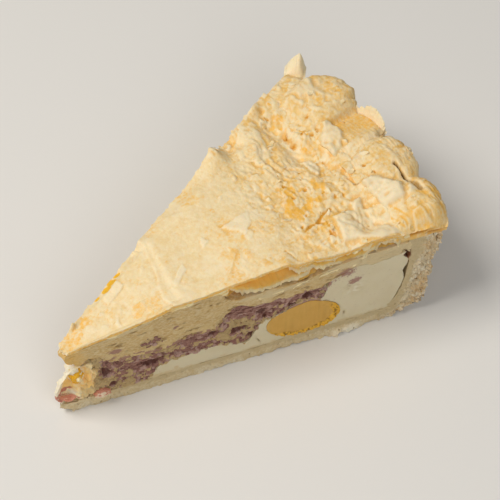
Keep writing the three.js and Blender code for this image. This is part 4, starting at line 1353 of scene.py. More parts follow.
@dataclass
class LidSheet:
    """The crisp top of the lid, inside the rim."""

    relief: LidRelief
    thickness: float = 1.4
    tip: float = 6.6
    end: float = 124.5
    finer: float = 80.0  # from here the sheet is rougher, and its mesh finer
    faces_apart: float = 500.0

    def build(self) -> Object:
        """Returns the sheet."""
        radii = np.concatenate([stations(self.tip, self.finer, 0.46),
                                stations(self.finer, self.end, 0.36)[1:]])
        angles = np.linspace(-HALF_ANGLE, HALF_ANGLE, 164)
        block = Block(radii, np.array([0, 0.5, 1.0]), angles)
        i, _, k = np.nonzero(block.skin)
        grid_r, grid_a = np.meshgrid(radii, angles, indexing="ij")
        tip = 1.5 * grain(pair(grid_a * 9, 0 * grid_a + 3), 0.7, 88, 3)
        tip += 1.6 * np.abs(grid_a / HALF_ANGLE) ** 2
        grid_r = grid_r + tip * np.clip(1 - (grid_r - self.tip) / 4, 0, 1)
        top, tones = self.relief.at(grid_r, grid_a)
        flat = LAYERS.flat_lid(grid_r, grid_a)
        top = flat + (top - flat) * (1 - 0.6 * smooth((np.abs(grid_a) / HALF_ANGLE - 0.9) / 0.1))
        low = np.minimum(flat - self.thickness, top - 0.5)
        r = grid_r[i, k] - 0.8 * (1 - block.t) * block.start
        z = mix(low[i, k], top[i, k], block.t)
        apart = self.faces_apart * block.far
        plies = grain(pair(r * 0.22, z * 1.6 + apart), 0.9, 89, 2)
        torn = grain(pair(r, z * 0.4 + apart), 2.2, 90, 3)
        flap = 1.3 * block.far * np.clip(grain(pair(r, 0 * r), 2.0, 202, 4) - 0.1, 0, 1)
        out = 0.22 * plies * (1 - block.t) + 0.28 * torn + 0.1 + flap
        points = place(r, block.pushed(out), z)
        side = (block.near | block.far | block.start) & ~block.top
        values = {tone: share[i, k] * ~side for tone, share in tones.items()}
        values["gold"] = values["gold"] + 0.75 * (side & ~block.start)
        values["pale"] = values["pale"] + 0.8 * (side & block.start)
        values["strewn"] = block.top * smooth((r - 88) / 10)
        return dressed("lid_sheet", points, block.quads, values, FLAKY_PASTRY, "pastry_lid")


@dataclass(frozen=True)
class CutSheet:
    """A thin sheet under the lid's top that ends in a ragged lip at a cut face."""

    name: str
    lip: Points  # height of its lip along the cut
    cut: Cut = Cut.NEAR
    deep: float = 9.0
    rise: float = 0.3  # how fast it climbs away from the cut
    teeth: float = 1.0  # how ragged its lip is
    back: float = 0.0  # how far its lip stays behind the cut
    curtain: float = 0.0  # how far it hangs down at the cut
    thickness: float = 0.45
    step: float = 0.3
    seed: int = 1

    def build(self) -> Object:
        """Returns the sheet."""
        lip = Profile(self.lip)
        start, end = self.lip[0][0], self.lip[-1][0]
        inward = np.concatenate([stations(0, 2, 0.25), stations(2, self.deep, 0.7)[1:]])
        block = Block(stations(start, end, self.step), np.array([0.0, 1.0]), inward)
        r, d = block.r, block.a
        plan = pair(r, d * 0.6)
        ends = smooth((r - start) / 2.5) * smooth((end - r) / 2.5)
        line = pair(r, r * 0)
        torn = self.teeth * (1.3 * grain(line, 2.2, self.seed, 4) - 0.35)
        tooth = np.clip(grain(line, 1.5, self.seed + 9, 3) + 0.1, 0, 1) + 1.2 * bell(r, 68.1, 0.5)
        hang = self.teeth * (0.3 + 2.2 * tooth)
        z = lip(r) + self.rise * d - hang * smooth((1.3 - d) / 1.3)
        z += 0.35 * grain(plan, 3.5, self.seed + 3, 2)
        z += self.curtain * (smooth(d / 2.4) - 1)
        z += 0.25 * grain(plan, 1.2, self.seed + 4) + 0.8 * smooth(d / 6) * (1 - ends)
        thick = self.thickness * mix(0.45, 1.0, smooth(d / 1.5))
        inset = self.back + d + (0.2 - torn) * smooth((2.0 - d) / 2.0) + (1 - ends) * 1.5
        angle = self.cut.value * (HALF_ANGLE - inset / r)
        z = np.minimum(z, LAYERS.flat_lid(r, angle) - 1.7) + np.where(block.t > 0.5, thick / 2, -thick / 2)
        quads = block.quads if self.cut is Cut.NEAR else block.quads[:, ::-1]
        lipped = smooth((1.1 - d) / 0.8)
        attributes = {
            # The pale lips and golden inside are partly painted light, for light from above and light shining
            # through the top sheet.
            "pale": 0.9 * lipped,
            "gold": (1 - lipped) * (0.75 + 0.25 * grain(plan, 5, self.seed + 5)),
            # dark: painted shade on the sheet's underside and far in from the cut
            "dark": 0.5 * (block.t < 0.5) + 0.3 * smooth((d - 6) / 4),
        }
        return dressed(self.name, place(r, angle, z), quads, attributes, OPEN_PASTRY, "pastry_lid")


@dataclass
class LidInside:
    """What lies between the dough and the lid's top: parted sheets, with air between them at the cuts."""

    step: float = 0.45
    start: float = 8.5
    end: float = 127.0
    sheets: tuple[CutSheet, ...] = (
        CutSheet("lid_sheet_second", [(62.5, 41.4), (67, 39.4), (73, 37.4), (77.4, 36.8), (81.3, 37.4),
                                      (85, 37.4),
                                      (90, 38.8), (93.5, 40.4), (97, 42)], rise=0.3, teeth=0.95, deep=8,
                                      seed=11),
        CutSheet("lid_sheet_third", [(70, 34.2), (76, 33.6), (82, 34.2), (88, 35), (95, 36.2), (100, 37),
                                     (106, 37.6),
                                     (110, 38)], rise=0.35, teeth=0.7, deep=5, back=-0.5, curtain=0.6,
                                     seed=31),
        CutSheet("lid_sheet_fourth", [(86, 45.2), (92, 44.4), (98, 43.6), (104, 43.4), (110, 44.2),
                                      (116, 45.2),
                                      (121, 45.0), (125.6, 44)], rise=0.1, teeth=1.0, deep=7, back=-0.4,
                                      curtain=0.4, seed=51),
        CutSheet("lid_sheet_fifth", [(85, 42.8), (92, 42.0), (99, 40.4), (105, 39.4), (110, 40.8),
                                     (114, 42.6),
                                     (119, 43.2), (125.6, 42.2)], rise=0.2, teeth=1.2, deep=6, back=-0.3,
                                     curtain=0.7, seed=71),
        CutSheet("lid_sheet_sixth", [(97, 38.0), (104, 38.2), (110, 38.8), (116, 39.4), (122, 39.6),
                                     (125.6, 40.2)],
                 rise=0.25, teeth=0.4, deep=6, back=-0.2, seed=81),
        CutSheet("lid_sheet_far", [(72, 41), (80, 39.4), (92, 39), (104, 39.6), (112, 41)], Cut.FAR, rise=0.2,
                 teeth=0.5, deep=4, back=0.3, seed=91),
    )
    near_recess: Profile = Profile(
        [(60, 0), (62.5, 0.4), (65, 3), (72, 4.6), (84, 4.6), (92, 3), (97, 2.4), (104, 2.6), (109, 4),
         (118, 4),
         (122, 2), (125, 0.3), (127, 0.2)]
    )
    far_recess: Profile = Profile([(60, 0), (71, 0), (76, 1.4), (92, 2.0), (106, 1.4), (112, 0), (127, 0)])

    def build(self) -> list[Object]:
        """Returns the core and the sheets round it."""
        return [self._core(), *(sheet.build() for sheet in self.sheets)]

    def _core(self) -> Object:
        """The sheets that still lie together, behind the hollows."""
        turns = stations(-HALF_ANGLE, HALF_ANGLE, 0.012)
        block = Block(stations(self.start, self.end, self.step), np.linspace(0, 1, 22), turns)
        r = block.r
        flat = LAYERS.flat_lid(r, block.a) - 2.2
        under = np.minimum(LAYERS.dough(r) - 0.4, flat) - 1.2 * smooth((r - 120) / 5)
        over = flat + smooth((np.abs(block.a) / HALF_ANGLE - 0.9) / 0.1)
        z = mix(under, np.maximum(over, under + 0.5), block.t)
        p = block.on_cut(block.r, z)
        plies = grain(pair(p[:, 0] * 0.15, z + 0.6 * grain(p, 9, 92)), 0.9, 93, 2)
        torn = grain(p, 2.0, 94, 3)
        back = np.where(block.far, self.far_recess(r), self.near_recess(r))
        out = -back + (0.35 + 0.5 * smooth(back)) * plies + 0.3 * torn - 0.1
        hidden = smooth(back / 2)
        attributes = {
            # gold: the golden inside, brightened in the hollows as painted light shining through the thin top
            # sheet
            "gold": 0.9 * hidden + 0.5 * smooth(plies),
            "pale": (1 - hidden) * smooth(plies * 2),
            "dark": 0.3 * smooth(-plies * 2),
        }
        points = place(r, block.pushed(out), z)
        return dressed("lid_core", points, block.quads, attributes, OPEN_PASTRY, "pastry_lid")


def spline(count: int, knots: int) -> Array:
    """The weights of a smooth curve of `count` places, led by `knots` points and meeting the end ones."""
    weights = np.zeros((count, knots + 4))
    t = np.linspace(0, knots - 1, count) + 2
    base = np.minimum(np.floor(t).astype(int), knots)
    f = t - base
    shares = ((1 - f) ** 3 / 6, (3 * f**3 - 6 * f**2 + 4) / 6, (-3 * f**3 + 3 * f**2 + 3 * f + 1) / 6,
              f**3 / 6)
    for k, share in enumerate(shares):
        np.add.at(weights, (np.arange(count), base - 1 + k), share)
    inner = weights[:, 2:-2].copy()
    inner[:, 0] += weights[:, 0] + weights[:, 1]
    inner[:, -1] += weights[:, -1] + weights[:, -2]
    return inner


@dataclass
class LidRim:
    """The hand-crimped rim: lobes of rolled and torn sheets over the wall."""

    # The middle and half width of each lobe in degrees, and its reach.
    lobes: Spots = ((10.2, 4.6, 7.6), (3.0, 3.0, 2.6), (-4.4, 4.3, 4.2), (-13.2, 4.6, 2.8))
    across_count: int = 84
    sides: int = 20
    around: float = 0.0028  # the step round the pie's axis
    pressed: float = 4.0  # degrees: the middle of the hollow that was pressed into it
    rolled: float = -11.6  # degrees: from here to the near cut its sheets are rolled up
    crevices: tuple[Patch, ...] = ((130, 43.2, 5, 0.7, 1.0), (136, 41.8, 3, 0.5, 1.0))
    slits: tuple[Crease, ...] = (
        Crease([(133.9, -14.4), (133.9, -17.2), (133.6, -20.2), (133.8, -23.1)], 0.42, 2.4, 1.0),
        Crease([(134.3, -23.1), (134.3, -25.8), (134.2, -27.6)], 1.0, 2.0, 0.55),
    )
    holes: Spots = ((126.7, -12.8, 0.8), (120.8, 14.4, 1.2), (123.5, 14, 1.1), (124, 20.4, 1.0),
                    (125.6, -8, 0.6))
    leaves: list[Leaf] = field(
        default_factory=lambda: [
            *strewn_leaves(16, 14, (122, 140), (2, 5), (0.2, 0.5), ("pale", "", "", "gold")),
            *strewn_leaves(80, 15, (120, 144), (0.8, 2.4), (0.3, 0.8), ("pale", "", "low", "gold")),
            Leaf([(124, 33), (131, 38), (137, 31), (131, 25)], 0.9, "pale", 0.5, 30, 0.5, 0.4),
            Leaf([(132, 27), (140, 31), (144, 24), (138, 18)], 0.8, "pale", 0.3, 100, 0.5, 0.4),
            Leaf([(122, 10.5), (126.5, 14.6), (129, 13.7), (129.6, 8.9), (126, 4), (121.5, 1.4),
                  (118.4, 4.4)], 2.0,
                 "pale", 0.6, 120, 0.7, 0.3),
            Leaf([(128, -9), (134, -6), (139, -12), (136, -16), (129, -15)], 0.8, "gold", 0.3, 60, 0.6, 0.4),
            Leaf([(121, -13.4), (124.6, -13.4), (130.4, -21.6), (128, -27.5), (124, -32.5), (119.8, -31.6),
                  (121.3, -21.4)],
                 2.3, "pale", 1.0, 90, 0.4, 0.3),
            Leaf([(131, -25.4), (133.2, -24.6), (131.6, -31), (127.6, -34), (126, -30.6)],
                 1.7, "pale", 0.8, 270, 0.4, 0.6),
            Leaf([(125.3, -33.5), (129, -33.6), (129.8, -40.8), (127, -42.6), (122.4, -41)],
                 1.4, "gold", 0.5, 90, 0.3, 0.2),
        ]
    )

    def reach(self, angle: Array) -> Array:
        """How far the rim stands out."""
        degrees = np.degrees(angle)
        return sum(
            reach * (1 - np.minimum(1, np.abs(degrees - middle) / width) ** 2.4)
            for middle, width, reach in self.lobes
        )

    def outline(self, angle: Array, reach: Array) -> tuple[Array, Array]:
        """The points that lead the rim's section, from the lid's side over the crest to the outside.

        Args:
            angle: angles round the pie's axis.
            reach: how far the rim stands out at each.

        Returns:
            Their radii and heights, a row for each angle.
        """
        degrees = np.degrees(angle)
        flat = 0 * angle
        dip = 1 - smooth((degrees + 17.5) / 2.4)
        crest = LAYERS.lid(124.0) + 3.2 * (0.35 + 0.65 * np.minimum(1, reach / 3)) - 3.4 * dip
        crest = crest + 0.5 * swell(angle * 130, flat, 9, 4.1)
        hollow = np.exp(-(((degrees - self.pressed) / 3.0) ** 4))
        rolled = smooth((self.rolled - degrees) / 0.8)
        edge = 140.2 + reach + 0.7 * grain(pair(angle * 140, flat), 2.6, 118, 4)
        inner = 119.6 + 1.6 * swell(angle * 120, flat, 11, 0.7) - 3.2 * bell(degrees, -9.6, 3.4)
        base = LAYERS.flat_lid(inner, angle)
        leads = (
            (inner, base - 0.2),
            (flat + 124.0, mix(base, crest, 0.35)),
            (flat + 128.5, crest - 1.2 * rolled - 1.4 * hollow),
            (0.5 * edge + 63.5, crest + 0.5 * rolled - 3.0 * hollow),
            (edge - 3.6, crest - 0.3 + 0.6 * rolled - 3.2 * hollow),
            (edge - 0.6, crest - 2.4 - 1.6 * hollow),
            (edge + 0.2, 44.0 - 0.8 * rolled),
            (0.35 * edge + 91.0, flat + 40.6),
        )
        r, z = (np.stack(row, -1) for row in zip(*leads))
        return r, z

    def build(self) -> Object:
        """Returns the rim."""
        angles = stations(-HALF_ANGLE, HALF_ANGLE, self.around)
        block = Block(np.linspace(0, 1, self.across_count), np.linspace(0, 1, self.sides), angles)
        lead_r, lead_z = self.outline(angles, self.reach(angles))
        total = self.across_count + self.sides - 1
        weights = spline(total, lead_r.shape[1])
        curve_r, curve_z = lead_r @ weights.T, lead_z @ weights.T
        dr, dz = np.gradient(curve_r, axis=1), np.gradient(curve_z, axis=1)
        length = np.hypot(dr, dz)
        out_r, out_z = -dz / length, dr / length
        skin_x, skin_y = curve_r * np.cos(angles)[:, None], curve_r * np.sin(angles)[:, None]
        along = np.cumsum(length, axis=1)
        rise, tones = self._sheets(skin_x, skin_y, along, np.broadcast_to(angles[:, None], along.shape))
        curve_r, curve_z = curve_r + rise * out_r, curve_z + rise * out_z

        i, j, k = np.nonzero(block.skin)
        corner = self.across_count - 1
        side_at = corner + (self.sides - 1 - j)
        top_r, top_z = curve_r[k, i], curve_z[k, i]
        side_r, side_z = curve_r[k, side_at], curve_z[k, side_at]
        corner_r, corner_z = curve_r[k, corner], curve_z[k, corner]
        foot_r, foot_z = curve_r[k, total - 1], curve_z[k, total - 1]
        low_r = mix(curve_r[k, 0] + 0.4, foot_r, block.r)
        low_z = np.minimum(mix(curve_z[k, 0] - 1.2, foot_z, smooth(block.r * 3)), top_z - 0.4)
        r = mix(low_r, top_r, block.t) + block.r * (side_r - mix(foot_r, corner_r, block.t))
        z = mix(low_z, top_z, block.t) + block.r * (side_z - mix(foot_z, corner_z, block.t))
        p = block.on_cut(block.r, z)
        plies = grain(pair(p[:, 0] * 0.3 + 0.5 * z, z - 0.25 * p[:, 0]), 1.1, 101, 2)
        crevice = patched(r, z, self.crevices)
        out = 0.3 * plies + 0.25 * grain(p, 2.2, 102, 2) - 1.6 * crevice * block.near
        values = {tone: np.where(block.end, tones[tone][k, side_at], tones[tone][k, i]) for tone in TONES}
        cut = block.near | block.far
        side = cut & ~block.top
        values["edge"] = values["edge"] * ~cut
        values["deep"] = values["deep"] * ~cut
        values["pale"] = np.where(side, 0.5 * smooth(plies), values["pale"])
        values["gold"] = np.where(side, 0.45, values["gold"])
        # The crevices on the near cut face are pushed in and painted brown as the shade in them.
        values["brown"] = np.where(cut, np.clip(crevice, 0, 1) * block.near, values["brown"])
        values["strewn"] = block.top * (z > 44.5) * (1 - bell(np.degrees(block.a), 3.9, 3))
        points = place(r, block.pushed(out, r), z)
        return dressed("lid_rim", points, block.quads, values, FLAKY_PASTRY, "pastry_lid")

    def _sheets(self, x: Array, y: Array, along: Array, angle: Array) -> tuple[Array, dict[str, Array]]:
        """The torn sheets of the rim, on the grid of its top and outside.

        Args:
            x: plan places along the slice.
            y: plan places across it.
            along: the way from the rim's inner edge, over its crest, in mm.
            angle: the angles round the pie's axis.

        Returns:
            How far the sheets stand out, and the share of each tone.
        """
        skin = pair(angle * 135, along)
        degrees = np.degrees(angle)
        puff = blisters(skin, 6.5, 115)
        layer, tint = sheets(skin, 7, 114, 2.6)
        rise = 0.8 * layer + 0.5 * puff - 0.25
        tones = {tone: np.zeros(x.shape) for tone in TONES}
        steep = smooth((along - 16) / 3)
        for leaf in self.leaves:
            laid = rise.copy()
            leaf.lay(x, y, laid, tones)
            rise = mix(laid, rise, steep)
        lines = grain(pair(skin[..., 0] * 0.16 + 0.3 * along, along * 1.3), 1.0, 103, 2)
        rolled = smooth((self.rolled - degrees) / 0.8) * smooth((degrees + 17.2) / 1.6)
        aside = degrees - self.pressed + 0.06 * (along - 14)
        hollow = np.exp(-((aside / 2.9) ** 4)) * smooth((along - 8.5) / 1.2)
        palest = bell(x, 124.5, 5) * bell(y, -20, 7)
        calm = np.maximum(0.93 * hollow, 0.8 * palest)
        rise = rise * (1 - 0.93 * hollow) * (1 - 0.5 * rolled)
        rise += lines * ((0.12 + 0.15 * rolled) * (1 - calm) + 0.12 * hollow)
        rise += 0.14 * grain(skin, 1.3, 112, 3) * (1 - calm)
        cut = np.minimum(degrees + 17.5, 17.5 - degrees)
        rise = rise * mix(0.45, 1, smooth(cut / 1.2))
        # The slits are cut in and painted dark as the shade deep inside them.
        for slit in self.slits:
            on = slit.near(x, y, 0.35 * grain(skin, 1.8, 104, 2))
            rise -= slit.depth * on
            lay_tone(tones, "dark", slit.brown * smooth(2 * on - 0.5))
        valley = bell(along, 4.0, 2.4)
        torn = wander(skin, 1.7, 88, 3)
        for hx, hy, size in self.holes:
            pit = bell(np.hypot(x - hx + torn[..., 0], y - hy + torn[..., 1]), 0, HOLE_SHARE * size)
            rise -= 0.8 * pit
            lay_tone(tones, "brown", pit)
        rise -= 0.6 * valley * smooth(grain(skin, 6, 107))
        lower = smooth((along - 17) / 6)
        # The golden low tone is the rim's own colour, with painted shade added in the creases between
        # blisters.
        low = 0.4 + 0.2 * smooth((0.4 - puff) / 0.4) + 0.3 * smooth((tint - 0.45) / 0.2)
        lay_tone(tones, "low", low * (1 - calm) + 0.1 * rolled)
        lay_tone(tones, "gold", np.maximum(0.6 * hollow, 0.65 * rolled * smooth(0.6 - lines * 2)))
        lay_tone(tones, "gold", 0.6 * lower * smooth(grain(skin, 5, 113, 2) * 2 + 0.3))
        lay_tone(tones, "pale", 0.5 * smooth(grain(skin, 6, 108, 2) * 2))
        tones["pale"] = tones["pale"] * (1 - hollow) * (1 - 0.6 * rolled)
        lay_tone(tones, "pale", palest)
        # Painted highlight on the standing edges and painted shade in the rim's hollows.
        paint_edge_light_and_hollow_shade(rise, tones, 0.9)
        return rise, tones


@dataclass
class StandingLeaf:
    """A leaf of pastry that stands up from the rim."""

    name: str
    foot: Points  # plan places along its foot
    height: Points  # of its upper edge over its foot, along it from 0 to 1
    ground: float
    lean: tuple[float, float]  # how far its top leans, along X and Y
    bulge: float  # how far its middle stands out
    thickness: float
    jag: float = 0.3
    seed: int = 1

    def build(self) -> Object:
        """Returns the leaf."""
        block = Block(np.linspace(0, 1, 60), np.linspace(0, 1, 30), np.array([0.0, 1.0]))
        s, t = block.r, block.t
        foot = np.array(self.foot, float)
        steps = np.linspace(0, 1, len(foot))
        x, y = np.interp(s, steps, foot[:, 0]), np.interp(s, steps, foot[:, 1])
        side = foot[-1] - foot[0]
        side = np.array([side[1], -side[0]]) / np.linalg.norm(side)
        tall = Profile(self.height)(s) - self.jag * np.abs(grain(pair(s * 24, s * 0), 2.2, self.seed, 4)) * 2
        z = self.ground + tall * t
        curve = self.bulge * np.sin(math.pi * s) * (0.6 + 0.4 * np.cos(t * 1.5))
        curve += 0.25 * grain(pair(s * 10, t * 8), 2.5, self.seed + 3, 2)
        taper = 0.35 + 0.65 * np.sin(math.pi * np.clip(s, 0.04, 0.96)) ** 0.5
        thick = self.thickness * (1 - 0.75 * t**2) * taper
        out = curve + np.where(block.a > 0.5, -thick / 2, thick / 2)
        x = x + side[0] * out + self.lean[0] * t**1.4
        y = y + side[1] * out + self.lean[1] * t**1.4
        points = np.stack([PIE_AXIS_X + x, y, z], -1)
        return dressed(self.name, points, block.quads, {"pale": 0.8 + 0.2 * t}, FLAKY_PASTRY, "pastry_lid")


FLAP = StandingLeaf(
    name="lid_flap",
    foot=[(130.6, 42.2), (132.6, 41.4), (134.6, 39.8), (136.6, 37.6)],
    height=[(0, 1.6), (0.25, 3.8), (0.6, 6.9), (0.74, 7.7), (0.84, 5.8), (1, 1.2)],
    ground=43.8,
    lean=(2.9, 3.0),
    bulge=0.1,
    thickness=0.8,
    jag=0.3,
    seed=161,
)
RIM_LEAF = StandingLeaf(
    name="rim_leaf",
    foot=[(140.0, 16.6), (142.2, 12.0), (143.4, 7.6), (142.6, 3.0), (141.5, 0.5)],
    height=[(0, 3.6), (0.2, 4.8), (0.36, 6.6), (0.7, 5.4), (1, 1.6)],
    ground=42.2,
    lean=(1.6, 0.2),
    bulge=0.6,
    thickness=0.8,
    jag=2.2,
    seed=171,
)


# ---- The broken tip -----------------------------------------------------------------------------


@dataclass
class BrokenTip:
    """Egg torn out of the point of the slice, with a shred of yolk and two of bacon in it."""

    slant: Profile = Profile([(6.5, 4.2), (9, 2.9), (12.4, 2.8), (16.4, 4.2), (20.8, 6.8), (24.2, 9.2)])
    low: float = 6.0
    high: float = 24.4
    back: float = 18.2

    def build(self) -> list[Object]:
        """Returns the pieces of the tip."""
        return [
            self._egg(),
            self._nugget("tip_yolk", SOFT_YOLK, (9.6, -0.2, 18.9), (2.3, 2.0, 3.4), 0.6, 0.0, 131),
            self._nugget("tip_bacon", PINK_BACON, (6.8, -0.2, 8.0), (4.0, 1.6, 0.9), 2.4, -0.8, 141),
            self._nugget("front_bacon", PINK_BACON, (17.6, -HALF_ANGLE - 0.03, 7.0), (2.9, 1.5, 2.0), -0.8,
                         1.3, 151),
        ]

    def _egg(self) -> Object:
        """The torn egg, with an oblique broken face towards the tip."""
        block = Block(stations(0, 1, 0.018), np.linspace(0, 1, 56), np.linspace(-HALF_ANGLE, HALF_ANGLE, 24))
        z = mix(self.low, self.high, block.t)
        start = self.slant(z) - 0.3 + 4.2 * across(block.a)
        r = mix(start, self.back, block.r)
        z = z + 0.6 * smooth((block.t - 0.9) / 0.1) * grain(pair(r, block.a * 20), 1.5, 121)
        p = block.on_cut(r, z)
        lumps, _, name = cells(p + 0.6 * wander(p, 2, 122), 2.6, 124)
        relief = 0.4 * (0.5 - lumps) + 0.4 * (name - 0.5) + 0.3 * grain(p, 1.4, 125, 2)
        relief -= 2.2 * smooth((r - 15.6 - 2.6 * grain(p, 3.2, 127, 2)) / 2.0)
        r = r - block.start * (0.5 + 0.6 * grain(pair(block.a * r, z), 2.4, 126, 3))
        tear = bell(r, 12.2, 1.1) * bell(z, 21, 2.6)
        broken = 1.5 * smooth((10.5 - r) / 7)
        core = np.hypot((r - 9.6) / 1.9, (z - 19) / 3.4)
        attributes = {
            "pale": np.maximum(bell(core, 1.2, 0.22) * smooth((z - 16) / 2), smooth((start + 0.6 - r) / 0.5))
            + patched(r, z, [(7.6, 10.2, 1.5, 1.1, 0.8)]),
            "gold": patched(r, z, [(13.2, 18.5, 1.7, 3.6, 1.0), (6.8, 16, 1.4, 4, 0.8)])
            + 0.5 * bell(z, 14, 2.5),
            "meat": bell(z - 0.45 * (r - 5.5), 11.6, 0.9) * smooth((8.6 - r) / 1.5)
            + bell(z, 7.9, 1.2) * smooth((11 - r) / 2),
            "curd": np.maximum(smooth((r - 14.2) / 1.6), smooth((r - 9.5) / 2) * smooth((15.5 - z) / 2)),
        }
        out = relief * (0.5 + 0.5 * smooth((17 - r) / 4)) + 0.1 - 0.6 * tear - broken
        points = place(r, block.pushed(out), z)
        return dressed("torn_tip", points, block.quads, attributes, TORN_EGG, "tip_egg")

    @staticmethod
    def _nugget(
        name: str, food: Food, middle: Sequence[float], size: Sequence[float], curl: float, fatty: float,
        seed: int
    ) -> Object:
        """A small lumpy piece.

        Args:
            name: its name in the solids.
            food: its finish.
            middle: its radius, angle and height.
            size: its half sizes along, across and up.
            curl: how far its ends stand up, in mm.
            fatty: how much more fat there is low on its cut side than on top.
            seed: which lumps.

        Returns:
            The piece.
        """
        block, unit = ball(22, cut=False)
        wild = 1 + 0.38 * grain(unit, 0.5, seed, 3)
        along, up, deep = (unit * wild[:, None] * np.array([size[0], size[2], size[1]])).T
        up = up + curl * (along / size[0]) ** 2
        r, angle, z = middle
        fat = smooth(1.4 * grain(unit + 4, 0.5, seed + 2, 3) - fatty * (unit @ (0.0, 0.6, 0.8)) - 0.1)
        points = at_cut(r + along, deep, z + up, angle)
        return dressed(f"{name}_bit", points, block.quads, {"fat": fat}, food, name)


# ---- What is scattered --------------------------------------------------------------------------


@dataclass
class Scatter:
    """Small shapes strewn over a piece by Geometry Nodes, where an attribute of that piece is high."""

    name: str
    food: Food
    attribute: str
    density: float  # in pieces per square metre
    least: float  # scale
    most: float
    tilt: float  # in radians, how far a shape may lean away from the surface
    seed: int

    def strew(self, ground: Object, shapes: Sequence[Object]) -> Object:
        """Strews the shapes.

        Args:
            ground: the piece that they lie on, which isn't changed.
            shapes: the shapes to draw from, which are removed afterwards.

        Returns:
            One real mesh with all of them.
        """
        material = bpy.data.materials.get(self.food.name) or self.food.build()
        group = bpy.data.collections.new(f"{self.name}_shapes")
        for shape in shapes:
            group.objects.link(shape)
        carrier = bpy.data.objects.new(f"{self.name}_ground", ground.data.copy())
        bpy.context.scene.collection.objects.link(carrier)
        modifier = carrier.modifiers.new("strew", "NODES")
        tree = self._tree(material)
        modifier.node_group = tree
        values = {"Shapes": group, "Density": self.density, "Seed": self.seed, "Least": self.least,
                  "Most": self.most, "Tilt": self.tilt}
        for item in tree.interface.items_tree:
            if item.name in values:
                modifier[item.identifier] = values[item.name]
        carrier.update_tag()
        bpy.context.view_layer.update()
        graph = bpy.context.evaluated_depsgraph_get()
        mesh = bpy.data.meshes.new_from_object(carrier.evaluated_get(graph))
        mesh.name = self.name
        carrier.modifiers.remove(modifier)
        bpy.data.objects.remove(carrier)
        for shape in shapes:
            bpy.data.objects.remove(shape)
        bpy.data.collections.remove(group)
        obj = bpy.data.objects.new(self.name, mesh)
        bpy.context.scene.collection.objects.link(obj)
        return finish_piece(obj, self.food)

    def _tree(self, material: Material) -> NodeTree:
        """Builds the node group that strews the shapes."""
        tree = bpy.data.node_groups.new(f"{self.name}_strew", "GeometryNodeTree")
        sockets = (
            ("Geometry", "NodeSocketGeometry"),
            ("Shapes", "NodeSocketCollection"),
            ("Density", "NodeSocketFloat"),
            ("Seed", "NodeSocketInt"),
            ("Least", "NodeSocketFloat"),
            ("Most", "NodeSocketFloat"),
            ("Tilt", "NodeSocketFloat"),
        )
        for name, kind in sockets:
            tree.interface.new_socket(name, in_out="INPUT", socket_type=kind)
        tree.interface.new_socket("Geometry", in_out="OUTPUT", socket_type="NodeSocketGeometry")
        given = add(tree, "NodeGroupInput").outputs
        seed, tilt = given["Seed"], given["Tilt"]
        where = add(tree, "GeometryNodeInputNamedAttribute", {"Name": self.attribute}, data_type="FLOAT")
        inputs = {0: given["Density"], 1: where.outputs["Attribute"]}
        density = add(tree, "ShaderNodeMath", inputs, operation="MULTIPLY").outputs[0]
        inputs = {"Mesh": given["Geometry"], "Density": density, "Seed": seed}
        spots = add(tree, "GeometryNodeDistributePointsOnFaces", inputs).outputs
        lean = add(tree, "ShaderNodeMath", {0: tilt, 1: -1.0}, operation="MULTIPLY").outputs[0]
        low = add(tree, "ShaderNodeCombineXYZ", {"X": lean, "Y": lean, "Z": 0.0}).outputs[0]
        high = add(tree, "ShaderNodeCombineXYZ", {"X": tilt, "Y": tilt, "Z": 2 * math.pi}).outputs[0]
        inputs = {"Min": low, "Max": high, "Seed": seed}
        turn = add(tree, "FunctionNodeRandomValue", inputs, data_type="FLOAT_VECTOR").outputs["Value"]
        inputs = {"Rotation": spots["Rotation"], "Rotate By": turn}
        rotation = add(tree, "FunctionNodeRotateRotation", inputs, rotation_space="LOCAL").outputs[0]
        inputs = {"Min": given["Least"], "Max": given["Most"], "Seed": seed}
        size = add(tree, "FunctionNodeRandomValue", inputs, data_type="FLOAT").outputs["Value"]
        inputs = {"Collection": given["Shapes"], "Separate Children": True, "Reset Children": True}
        shapes = add(tree, "GeometryNodeCollectionInfo", inputs).outputs[0]
        inputs = {"Points": spots["Points"], "Instance": shapes, "Pick Instance": True, "Rotation": rotation,
                  "Scale": size}
        placed = add(tree, "GeometryNodeInstanceOnPoints", inputs).outputs["Instances"]
        real = add(tree, "GeometryNodeRealizeInstances", {"Geometry": placed}).outputs["Geometry"]
        inputs = {"Geometry": real, "Material": material}
        finished = add(tree, "GeometryNodeSetMaterial", inputs).outputs["Geometry"]
        add(tree, "NodeGroupOutput", {"Geometry": finished})
        return tree


LID_FLAKES = Scatter("lid_flakes", FLAKY_PASTRY, "strewn", density=20000, least=0.5, most=1.3, tilt=0.2,
                     seed=5)
RIM_FLAKES = Scatter("rim_flakes", FLAKY_PASTRY, "strewn", density=20000, least=0.5, most=1.4, tilt=0.25,
                     seed=8)
WALL_CRUMBS = Scatter("wall_crumbs", SHORTCRUST, "loose", density=90000, least=0.35, most=1.2, tilt=1.5,
                      seed=3)
FLAKE_THICKNESS = 0.14
CRUMB_SIZE = 2.0


